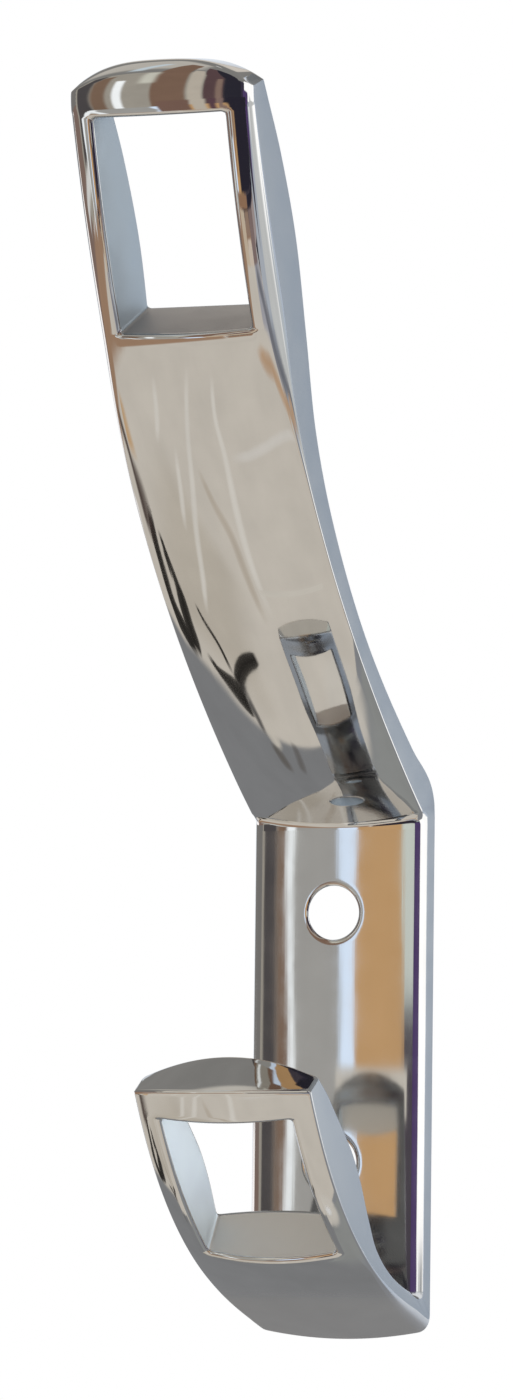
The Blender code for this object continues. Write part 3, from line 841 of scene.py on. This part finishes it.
def add_tongue(obj, side, end):
    """Join the hidden tongue to a member, with its mounting clearance and countersunk hole."""
    half = 0.5 * RECESS_WIDTH - FIT
    near = 0.5 * CENTRE_LAND + FIT
    thick = RECESS_DEPTH - FIT
    z0, z1 = sorted((side * near, end + side * TONGUE_ROOT))
    tongue = box("tongue", (-half, -thick, z0), (half, -TONGUE_SINK, z1))
    radius = clearance_radius()
    profile = [(radius, -CUT_PAST), (radius, thick + CUT_PAST)]
    clear = turned("clearance", profile, side * 0.5 * HOLE_SPACING)
    wide = 0.5 * SCREW_HEAD + FIT
    narrow = 0.5 * SCREW_DIAMETER + FIT
    top = SCREW_SINK + FIT
    profile = [(wide, -CUT_PAST), (wide, top), (narrow, top + wide - narrow), (narrow, thick + CUT_PAST)]
    sink = turned("countersink", profile, side * screw_height())
    combine(obj, [(tongue, "UNION"), (clear, "DIFFERENCE"), (sink, "DIFFERENCE")])


def finish_plate(obj):
    """Cut the back recesses for the tongues and the tapped holes for their screws."""
    half = 0.5 * RECESS_WIDTH
    land = 0.5 * CENTRE_LAND
    steps = []
    for z0, z1 in ((land, PLATE_TOP + CUT_PAST), (PLATE_BOTTOM - CUT_PAST, -land)):
        steps.append((box("recess", (-half, -RECESS_DEPTH, z0), (half, CUT_PAST, z1)), "DIFFERENCE"))
    for side in (1, -1):
        radius = 0.5 * SCREW_DIAMETER + FIT
        deep = SCREW_SINK + SCREW_LENGTH + FIT
        profile = [(radius, 0.5 * RECESS_DEPTH), (radius, deep)]
        steps.append((turned("tapping", profile, side * screw_height()), "DIFFERENCE"))
    combine(obj, steps)


def screw(name, side, material):
    """A slotted countersunk screw with a rolled thread, its head just under the wall face."""
    wide, narrow = 0.5 * SCREW_HEAD, 0.5 * SCREW_DIAMETER
    rim = SCREW_SINK + SCREW_RIM
    cone_end = rim + wide - narrow
    end = SCREW_SINK + SCREW_LENGTH
    profile = [
        (wide - SCREW_EDGE, SCREW_SINK), (wide, SCREW_SINK + SCREW_EDGE), (wide, rim), (narrow, cone_end),
    ]
    reach = cone_end + SCREW_NECK
    while reach + THREAD_PITCH < end - SCREW_POINT:
        profile.append((narrow - THREAD_DEPTH, reach + 0.5 * THREAD_PITCH))
        reach += THREAD_PITCH
        profile.append((narrow, reach))
    profile.append((narrow - 2 * THREAD_DEPTH, end))
    z = side * screw_height()
    obj = turned(name, profile, z, sides=48)
    coat(obj, (material, material))
    slot = box(
        "slot",
        (-SCREW_HEAD, -SCREW_SINK - SCREW_SLOT, z - 0.5 * SCREW_SLOT),
        (SCREW_HEAD, CUT_PAST, z + 0.5 * SCREW_SLOT),
    )
    combine(obj, [(slot, "DIFFERENCE")])
    return obj


class Nodes:
    """Small helper for building a material's node tree."""

    def __init__(self, material):
        material.use_nodes = True
        self.tree = material.node_tree
        self.shader = self.tree.nodes["Principled BSDF"]

    def add(self, kind, values=None, **settings):
        node = self.tree.nodes.new("ShaderNode" + kind)
        for key, value in settings.items():
            setattr(node, key, value)
        for key, value in (values or {}).items():
            node.inputs[key].default_value = value
        return node

    def join(self, output, target):
        self.tree.links.new(output, target)

    def noise(self, where, scale, detail):
        node = self.add("TexNoise", {"Scale": scale, "Detail": detail})
        self.join(where, node.inputs["Vector"])
        return node.outputs["Fac"]

    def ranged(self, value, source, target, **settings):
        """Carry a value from one range over to another."""
        names = ("From Min", "From Max", "To Min", "To Max")
        node = self.add("MapRange", dict(zip(names, (*source, *target))), **settings)
        self.join(value, node.inputs["Value"])
        return node.outputs["Result"]

    def bump(self, level, values):
        node = self.add("Bump", values)
        self.join(level, node.inputs["Height"])
        return node


def metal(name, dull, bright, roughness, grain, wave, lines=1.0, fade=None):
    """Chrome with uneven gloss, a faint casting wave and fine grain, all in object space.

    A small lines value stretches the grain into upright polishing lines. With fade,
    (height, depth, rough), the polish turns rougher below that height.
    """
    material = bpy.data.materials.new(name)
    n = Nodes(material)
    n.shader.inputs["Metallic"].default_value = 1.0
    where = n.add("TexCoord").outputs["Object"]

    cloud = n.noise(where, CLOUD_SCALE, 6.0)
    tint = n.add("ValToRGB")
    for element, position, colour in zip(tint.color_ramp.elements, NOISE_SPAN, (dull, bright)):
        element.position = position
        element.color = (*colour, 1.0)
    n.join(cloud, tint.inputs["Fac"])
    n.join(tint.outputs["Color"], n.shader.inputs["Base Color"])

    rough = n.ranged(cloud, NOISE_SPAN, roughness)
    if fade:
        height, depth, rougher = fade
        split = n.add("SeparateXYZ")
        n.join(where, split.inputs["Vector"])
        span = (height, height - depth)
        below = n.ranged(split.outputs["Z"], span, (0.0, rougher), interpolation_type="SMOOTHSTEP")
        most = n.add("Math", operation="MAXIMUM")
        n.join(rough, most.inputs[0])
        n.join(below, most.inputs[1])
        rough = most.outputs["Value"]
    n.join(rough, n.shader.inputs["Roughness"])

    first = n.bump(n.noise(where, WAVE_SCALE, 1.0), {"Distance": wave})
    stretch = n.add("Mapping", {"Scale": (1.0, 1.0, lines)})
    n.join(where, stretch.inputs["Vector"])
    fine = n.noise(stretch.outputs["Vector"], GRAIN_SCALE, 3.0)
    second = n.bump(fine, {"Strength": grain, "Distance": GRAIN_HEIGHT})
    n.join(first.outputs["Normal"], second.inputs["Normal"])
    n.join(second.outputs["Normal"], n.shader.inputs["Normal"])
    return material


def dress(obj, node):
    obj.data.shade_smooth()
    obj.data.set_sharp_from_angle(angle=SHARP_ANGLE)
    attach(obj, "root")
    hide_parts(node)


def camera():
    """The photograph's viewpoint: from the right, a little below, a long lens."""
    yaw, pitch, roll = radians(22.2), radians(-4.3621), radians(0.6773)
    distance = 812.04 * MM
    target = Vector((-11.105, 0.0, 37.2475)) * MM
    forward = Vector((-sin(yaw) * cos(pitch), cos(yaw) * cos(pitch), -sin(pitch)))
    right = Vector((cos(yaw), sin(yaw), 0.0))
    up = right.cross(forward)
    across = right * cos(roll) + up * sin(roll)
    upward = up * cos(roll) - right * sin(roll)
    data = bpy.data.cameras.new("camera")
    data.sensor_width = 36.0
    data.lens = 189.887
    data.clip_start = 0.05
    data.clip_end = 50.0
    obj = link("camera", data)
    place_at = target - forward * distance
    columns = (across, upward, -forward, place_at)
    obj.matrix_world = Matrix([[c[k] for c in columns] for k in range(3)] + [[0.0, 0.0, 0.0, 1.0]])
    bpy.context.scene.camera = obj


def linear(colour):
    """A display colour, 0 to 255, as scene-linear values."""
    shares = [c / 255.0 for c in colour]
    return [c / 12.92 if c <= 0.04045 else ((c + 0.055) / 1.055) ** 2.4 for c in shares]


def glow(name, colour, scale):
    """An evenly lit card, cloth or panel, mottled by noise, clear where its cover attribute is 0."""
    material = bpy.data.materials.new(name)
    n = Nodes(material)
    n.tree.nodes.remove(n.shader)
    lit = [c / CHROME_REFLECTANCE for c in linear(colour)]
    shine = n.add("Emission", {"Color": (*lit, 1.0)})
    where = n.add("TexCoord").outputs["Object"]
    level = n.ranged(n.noise(where, scale, 3.0), NOISE_SPAN, (1.0 - MOTTLE, 1.0 + MOTTLE))
    n.join(level, shine.inputs["Strength"])
    clear = n.add("BsdfTransparent")
    cover = n.add("Attribute", attribute_name="cover")
    blend = n.add("MixShader")
    for k, output in enumerate((cover.outputs["Fac"], clear.outputs["BSDF"], shine.outputs["Emission"])):
        n.join(output, blend.inputs[k])
    n.join(blend.outputs["Shader"], n.tree.nodes["Material Output"].inputs["Surface"])
    return material


def panel(name, grid, colour, scale):
    """A stage panel through a grid of (point, cover), seen only in the hook's polish."""
    bm = bmesh.new()
    cover = bm.verts.layers.float.new("cover")
    rows = []
    for line in grid:
        row = []
        for point, share in line:
            vert = bm.verts.new(point)
            vert[cover] = share
            row.append(vert)
        rows.append(row)
    for low_row, high_row in zip(rows, rows[1:]):
        for j in range(len(low_row) - 1):
            bm.faces.new((low_row[j], low_row[j + 1], high_row[j + 1], high_row[j]))
    obj = link(name, mesh_from(name, bm))
    obj.data.materials.append(glow(name, colour, scale))
    for kind in ("camera", "diffuse", "transmission", "volume_scatter", "shadow"):
        setattr(obj, "visible_" + kind, False)


def away(azimuth, elevation):
    """A direction from the hook: azimuth 0 is the room and 90 the right, elevation is up."""
    turn, rise = radians(azimuth), radians(elevation)
    return Vector((sin(turn) * cos(rise), -cos(turn) * cos(rise), sin(rise)))


def marks(low, high, soft, step):
    """Positions from low to high with their cover, which fades in and out over soft."""
    soft = min(soft, 0.5 * (high - low))
    shares = [k / FADE_STEPS for k in range(FADE_STEPS)] if soft else []
    fades = [(u, ease(u)) for u in shares]
    count = max(1, int((high - low - 2 * soft) / step))
    middle = [(at, 1.0) for at in [low + soft] + spread(low + soft, high - soft, count)]
    start = [(low + soft * u, share) for u, share in fades]
    end = [(high - soft * u, share) for u, share in reversed(fades)]
    return start + middle + end


def sheet(name, columns, rows, point_at, colour, scale):
    """A panel over columns and rows of (position, cover), its points given by a function."""
    grid = []
    for up, tall in rows:
        grid.append([(point_at(across, up), tall * wide) for across, wide in columns])
    panel(name, grid, colour, scale)


def card(name, azimuths, elevations, colour, distance, soft=0.0):
    """A curved panel round the hook between two azimuths and two elevations."""
    def point_at(azimuth, elevation):
        return STAGE_CENTRE + away(azimuth, elevation) * distance

    columns, rows = marks(*azimuths, soft, CARD_STEP), marks(*elevations, soft, CARD_STEP)
    sheet(name, columns, rows, point_at, colour, FAR_SCALE)


def screen(name, azimuths, heights, colour, distance, soft):
    """An upright curved panel with swaying sides, its heights and distance in millimetres."""
    def point_at(azimuth, height):
        swayed = azimuth + SCREEN_SWAY * sin(height / SCREEN_PERIOD + SCREEN_TWIST * azimuth)
        return (away(swayed, 0.0) * distance + Vector((0.0, 0.0, height))) * MM

    fade = SCREEN_FADE * (heights[1] - heights[0])
    columns, rows = marks(*azimuths, soft, CARD_STEP), marks(*heights, fade, SCREEN_STEP)
    sheet(name, columns, rows, point_at, colour, SCREEN_SCALE)


def board(name, across, heights, colour, reach=BOARD_REACH):
    """A small flat panel just in front of a tip, in millimetres."""
    def point_at(x, height):
        return Vector((x, -reach, height)) * MM

    columns, rows = marks(*across, BOARD_SOFT, BOARD_STEP), marks(*heights, BOARD_SOFT, BOARD_STEP)
    sheet(name, columns, rows, point_at, colour, BOARD_SCALE)


def ribbon(name, path, colour, distance, crisp=False):
    """A band along a path of (azimuth, elevation, width), soft across unless crisp."""
    core, full = CRISP_EDGE if crisp else SOFT_EDGE
    last = len(path) - 1
    tracks = [tuple((k / last, point[c]) for k, point in enumerate(path)) for c in range(3)]
    steps = RIBBON_STEPS * last
    line = [[smooth_station(track, k / steps) for track in tracks] for k in range(steps + 1)]
    grid = []
    for k, (azimuth, elevation, width) in enumerate(line):
        before, after = line[max(k - 1, 0)], line[min(k + 1, steps)]
        narrow = cos(radians(elevation))
        run = Vector(((after[0] - before[0]) * narrow, after[1] - before[1])).normalized()
        ends = min(k, steps - k, RIBBON_ENDS) / RIBBON_ENDS
        row = []
        for side, share in ((-0.5, 0.0), (-core, full), (0.0, 1.0), (core, full), (0.5, 0.0)):
            aside = Vector((-run.y / narrow, run.x)) * width * side
            point = STAGE_CENTRE + away(azimuth + aside.x, elevation + aside.y) * distance
            row.append((point, share * ends))
        grid.append(row)
    panel(name, grid, colour, FAR_SCALE)


def stage():
    """What the polish mirrors: a cream cloth below, a shelf edge, upright panels, pale soft cards."""
    far, mid, near, close = 1.2, 1.1, 1.0, 0.9
    layer = 0.01
    # Walls, ceiling and cloth
    card("ceiling", (-180, 180), (33, 88), (120, 119, 117), far)
    card("front ceiling", (-94, -6), (40, 82), (176, 172, 165), far - layer, 8.0)
    card("back ceiling", (-180, -134), (31, 62), (188, 182, 174), far - layer, 5.0)
    card("left wall", (-131, -52), (-1, 34), (112, 110, 108), far)
    card("left pale wall", (-131, -92), (-16, -1), (244, 240, 240), far)
    card("left brown wall", (-93, -52), (-24, -1), (118, 100, 92), far)
    card("front wall", (-53, 6), (-22, 34), (149, 144, 135), far)
    card("dark wall", (3, 46), (-30, 34), (52, 48, 62), far)
    card("right white card", (44, 148), (-14, 34), (255, 255, 255), far)
    card("right grey card", (48, 147), (-32, -2), (160, 166, 175), far - layer, 4.0)
    card("right edge card", (92, 142), (-18, 7), (182, 184, 184), far - 2 * layer, 4.0)
    card("right edge strip", (138, 151), (0, 9), (170, 177, 183), far - 2 * layer, 2.0)
    card("dark right wall", (44, 79), (-17.5, 4), (54, 53, 60), far - 3 * layer, 2.0)
    card("back blue card", (146, 182), (-24, 34), (168, 178, 192), far)
    card("back pale card", (-180, -130), (-12, 34), (190, 195, 202), far)
    card("floor left", (-180, -98), (-88, -11), (117, 118, 120), far + 5 * layer)
    card("floor right", (44, 180), (-88, -13), (124, 126, 130), far + 5 * layer)
    card("cloth", (-104, 64), (-89, -27), (185, 179, 170), far, 3.0)
    card("cloth middle", (-185, 185), (-89.5, -83), (186, 181, 173), far - layer, 2.0)
    card("cloth shade", (72, 204), (-87, -66), (131, 133, 132), far - 2 * layer, 6.0)

    # Upright posts and panels of the room
    card("dark post", (-50, -41), (-18, 34), (72, 69, 70), mid, 2.0)
    card("brown post", (-42.5, -36.5), (-18, 30), (116, 95, 80), mid - layer, 1.5)
    card("white post", (-35.6, -31.6), (-18, 22), (238, 242, 244), mid - 2 * layer, 1.2)
    card("pale lamp", (-41, -31), (38, 62), (186, 198, 206), mid - 2 * layer, 4.0)
    card("pale edge", (-29, -21.5), (16, 34), (188, 187, 176), mid - layer, 3.0)
    card("brown panel", (-24, -12.4), (-18, 64), (116, 93, 79), mid, 1.2)
    card("pale slat", (-12.8, -7.8), (-20, 40), (176, 168, 156), mid - layer, 1.0)
    card("dark brown post", (-8.2, -1.5), (-20, 60), (84, 66, 68), mid - 2 * layer, 0.8)
    card("brown slat", (-5.0, -2.2), (-20, 20), (126, 106, 96), mid - 3 * layer, 0.8)
    card("black panel", (-2.6, 14), (-29, 62), (40, 39, 48), mid - 4 * layer, 0.8)

    # The shelf, and what lies on the cloth
    card("shelf line", (-62, -41), (-20, -16), (200, 200, 198), near, 1.5)
    card("shelf edge", (-92, -8), (-33, -20.5), (146, 119, 98), near + layer, 2.5)
    card("dark shelf", (-9, 46), (-29.5, -17), (42, 41, 50), near, 1.5)
    card("brown rail", (-9, 8), (-32, -28), (136, 106, 84), near - layer, 1.5)
    card("lilac card", (5, 60), (-42, -29), (150, 150, 157), near + layer, 2.5)
    ribbon(
        "slate band",
        ((10, -34.5, 4), (16, -35, 5), (28, -36.5, 8), (41, -36, 10), (55, -32.5, 10), (64, -29, 9),
         (73, -26.6, 8), (86, -19.8, 6), (99, -13.4, 5), (109, -8.5, 4), (118, -4.8, 4), (126, -2, 2)),
        (102, 104, 111), near,
    )
    ribbon(
        "orange rim",
        ((2, -43, 2), (6, -45.5, 4), (14, -46.5, 6), (24, -47.5, 7), (35, -46.5, 6), (50, -41.5, 5),
         (65, -35.5, 5), (78, -30, 5), (92, -20.5, 4), (107, -11.5, 4), (116, -9, 3)),
        (170, 142, 116), near - 2 * layer,
    )
    ribbon(
        "orange band",
        ((24, -49, 4), (28, -52, 5), (34, -57, 5), (42, -64, 4), (55, -76, 3)),
        (176, 143, 112), near - layer,
    )
    card("warm cloth", (-100, -56), (-68, -40), (172, 165, 154), near + 5 * layer, 9.0)
    card("left strip", (-112, -86), (-37, -29), (232, 230, 231), near, 2.0)
    hem = ((-78, -28, 3), (-76, -35.5, 4.5), (-80, -39.5, 4.5), (-88, -41, 3))
    ribbon("dark hem", hem, (66, 54, 50), close)
    ribbon("tan strap", ((-66, -33, 2), (-70, -35.5, 2.6), (-74, -38.5, 2)), (180, 148, 110), close)
    for name, path in (
        ("black strap", (
            (-81.5, -43.3, 0.8), (-84.5, -44.4, 1.2), (-88, -45.7, 1.6), (-91, -46.3, 2.4),
            (-95, -46.1, 3), (-98.5, -46, 3), (-102, -45.4, 1.5),
        )),
        ("strap edge", (
            (-79, -41.2, 1), (-85, -41.9, 1.5), (-90.5, -42.6, 1.8), (-95.5, -42.8, 2.2), (-100, -44, 3),
            (-103, -45, 1.5),
        )),
        ("strap lining", ((-84.5, -43.7, 0.5), (-87, -44.4, 0.7), (-90, -44.9, 0.5))),
        ("cord", ((-88, -50, 0.5), (-90, -51.2, 0.9), (-92.6, -53.9, 1), (-97.2, -55.2, 1.1))),
        ("cord left", (
            (-98.5, -49, 0.9), (-100.2, -50.6, 1.5), (-100, -52.8, 2), (-99.6, -55.4, 2.4), (-100, -57, 1),
        )),
        ("cord right", (
            (-83, -65.4, 1.2), (-86, -63.4, 2), (-90, -60.5, 2.2), (-95, -57.4, 2), (-100, -54.6, 1.2),
        )),
    ):
        ribbon(name, path, (36, 34, 32), close, crisp=True)
    ribbon("cord end", ((-97, -56.5, 3), (-100, -57.5, 2.6), (-104, -57.5, 1.5)), (78, 76, 75), close)
    ribbon("cloth corner", ((-99, -60, 6), (-103, -60.3, 5), (-106.5, -61, 3)), (186, 180, 170), near)
    ribbon("cloth hem", ((-101, -67, 2), (-107, -66.5, 3), (-112, -65, 2.5)), (96, 94, 93), close)
    ribbon("short cord", ((-106, -57.5, 1.5), (-108, -59.5, 3), (-111, -62, 2)), (92, 89, 86), close)
    # Pale ribbons along the cloth's folds: painted highlights where light catches them.
    for name, path in (
        ("left crease highlight", ((-48, -38, 1.5), (-54, -41, 1.8), (-60, -42.5, 1))),
        ("long crease highlight", (
            (-31, -41, 1.5), (-43, -47, 1.8), (-53, -51, 2), (-64, -53, 2), (-76, -54, 1.8), (-87, -53, 1),
        )),
        ("short crease highlight", ((-52, -46, 1.2), (-61, -49, 1.8), (-70, -50.5, 1.2))),
        ("middle crease highlight", (
            (-21, -44, 1.4), (-26, -49, 1.8), (-29, -55, 2.4), (-38, -62, 3), (-55, -72, 2),
        )),
    ):
        ribbon(name, path, (198, 194, 187), close)
    shadow = ((-46, -51, 1.6), (-47, -56, 2.4), (-47, -61, 3), (-52, -65, 3), (-62, -70.5, 2))
    ribbon("fold shadow", shadow, (168, 159, 147), close)
    # A pale ribbon across the cloth: a painted highlight along a fold.
    ribbon("cross crease highlight", ((-26, -55, 1.4), (-6, -56, 2), (36, -52, 2)), (195, 191, 185), close)

    # Screens round the wall face and boards before the tips
    block, cloth, sheet_near = 250.0, 600.0, 90.0
    upright = (-28.0, 48.0)
    screen("white slat", (-38.4, -34.4), upright, (232, 237, 240), block, 1.2)
    screen("grey sheet", (-35.4, -18), upright, (151, 150, 147), block + 1, 1.0)
    screen("pale blue sheet", (-19.6, -11.6), upright, (212, 228, 248), block - 1, 1.4)
    screen("wooden block", (-13.4, 4.4), upright, (182, 146, 104), block - 2, 1.2)
    screen("pale edge strip", (2.6, 30.5), (6.0, 48.0), (190, 196, 190), block - 3, 1.2)
    screen("dark edge strip", (2.6, 30.5), (-28.0, 14.0), (70, 64, 72), block - 4, 1.2)
    screen("violet cloth", (28, 78), (-80.0, 130.0), (74, 58, 98), cloth, 3.0)
    screen("white sheet", (72, 140), (-26.0, 36.0), (255, 255, 255), sheet_near, 3.0)
    board("hook strip", (-14.0, 13.0), (-8.6, -1.8), (189, 184, 175), HOOK_BOARD_REACH)
    board("slat brown", (-9.0, -0.4), (80.0, 92.0), (112, 88, 78))
    board("slat pale", (-0.8, 3.1), (80.0, 92.0), (178, 170, 158))
    board("slat dark", (2.8, 5.2), (74.0, 92.0), (84, 62, 70))
    board("slat tan", (5.0, 6.9), (80.0, 92.0), (122, 102, 97))
    board("slat black", (6.5, 46.0), (71.0, 92.0), (38, 36, 46))
    board("slat foot", (11.8, 46.0), (68.4, 71.8), (38, 36, 46))
    board("slat rail", (-6.0, 11.8), (68.0, 72.0), (134, 104, 82))
    board("slat hem", (6.9, 11.8), (62.8, 68.8), (136, 114, 100))
    board("slat cloth", (-6.0, 7.6), (57.0, 69.0), (182, 167, 148))
    board("slat fold", (6.9, 11.6), (57.0, 63.5), (190, 176, 162))
    board("slat shade", (11.1, 20.8), (57.0, 69.0), (118, 102, 100))
    board("slat edge", (20.3, 46.0), (60.0, 69.0), (148, 136, 134))


def world():
    """White all round, with a pale floor far below."""
    scene = bpy.context.scene
    scene.world = bpy.data.worlds.new("studio")
    scene.world.use_nodes = True
    background = scene.world.node_tree.nodes["Background"]
    background.inputs["Color"].default_value = (1.0, 1.0, 1.0, 1.0)
    background.inputs["Strength"].default_value = 1.0

    bm = bmesh.new()
    bmesh.ops.create_grid(bm, x_segments=8, y_segments=8, size=FLOOR_HALF)
    floor = link("floor", mesh_from("floor", bm))
    floor.location.z = FLOOR_HEIGHT
    material = bpy.data.materials.new("pale floor")
    n = Nodes(material)
    n.shader.inputs["Base Color"].default_value = (0.9, 0.9, 0.9, 1.0)
    n.shader.inputs["Roughness"].default_value = 0.9
    floor.data.materials.append(material)


chrome_dull, chrome_bright = (0.645, 0.64, 0.63), (0.675, 0.67, 0.66)
polished = metal("polished chrome", chrome_dull, chrome_bright, (0.02, 0.045), 0.02, 0.004 * MM)
lined = metal("lined polish", chrome_dull, chrome_bright, (0.06, 0.11), 0.2, 0.03 * MM, 0.02)
hook_fade = (-26.0 * MM, 3.0 * MM, 0.42)
fading = metal("fading polish", chrome_dull, chrome_bright, (0.03, 0.06), 0.04, 0.004 * MM, fade=hook_fade)
satin = metal("satin chrome", (0.338, 0.363, 0.386), (0.363, 0.388, 0.412), (0.36, 0.46), 0.25, 0.002 * MM)
# The four cast chrome copies below differ only in colour: the bluish wall tint and the warm end tint are
# painted reflection, and the hook's paler pair is the same finish lit paler with painted bounce light.
cast = ((0.50, 0.62), 0.3, 0.002 * MM)
walls = metal("cast chrome", (0.427, 0.48, 0.518), (0.465, 0.518, 0.556), *cast)
warm_reflection_ends = metal("cast chrome with painted warm reflection", (0.54, 0.52, 0.51), (0.58, 0.56, 0.55), *cast)
pale = metal("cast chrome with painted bounce light", (0.84, 0.92, 0.97), (0.88, 0.96, 1.0), *cast)
bounce_lit_warm_ends = metal("cast chrome with painted warm reflection and bounce light", (0.78, 0.76, 0.72), (0.83, 0.81, 0.77), *cast)
# The hook's inner face: a rougher polish, with a darker base that is painted shade where it faces the
# wall.
dim_chrome_painted_shade = metal("rougher chrome with painted shade", (0.40, 0.41, 0.42), (0.45, 0.46, 0.47), (0.16, 0.26), 0.1, 0.004 * MM)
zinc = metal("zinc plated steel", (0.53, 0.53, 0.54), (0.58, 0.58, 0.59), (0.25, 0.36), 0.2, 0.002 * MM)

plate_piece = plate()
coat(plate_piece, (lined, satin, walls))
finish_plate(plate_piece)
dress(plate_piece, "wall_plate")
arm_piece = arm()
coat(arm_piece, (polished, satin, walls, warm_reflection_ends))
add_tongue(arm_piece, 1, PLATE_TOP)
dress(arm_piece, "upper_arm")
hook_piece = hook()
# The hook's window walls and ends take the cast chrome copies with painted bounce light.
coat(hook_piece, (fading, satin, pale, bounce_lit_warm_ends, dim_chrome_painted_shade))
add_tongue(hook_piece, -1, PLATE_BOTTOM)
dress(hook_piece, "lower_hook")
dress(screw("arm_screw_body", 1, zinc), "arm_screw")
dress(screw("hook_screw_body", -1, zinc), "hook_screw")

bpy.context.scene.view_settings.view_transform = "Standard"
camera()
world()
stage()
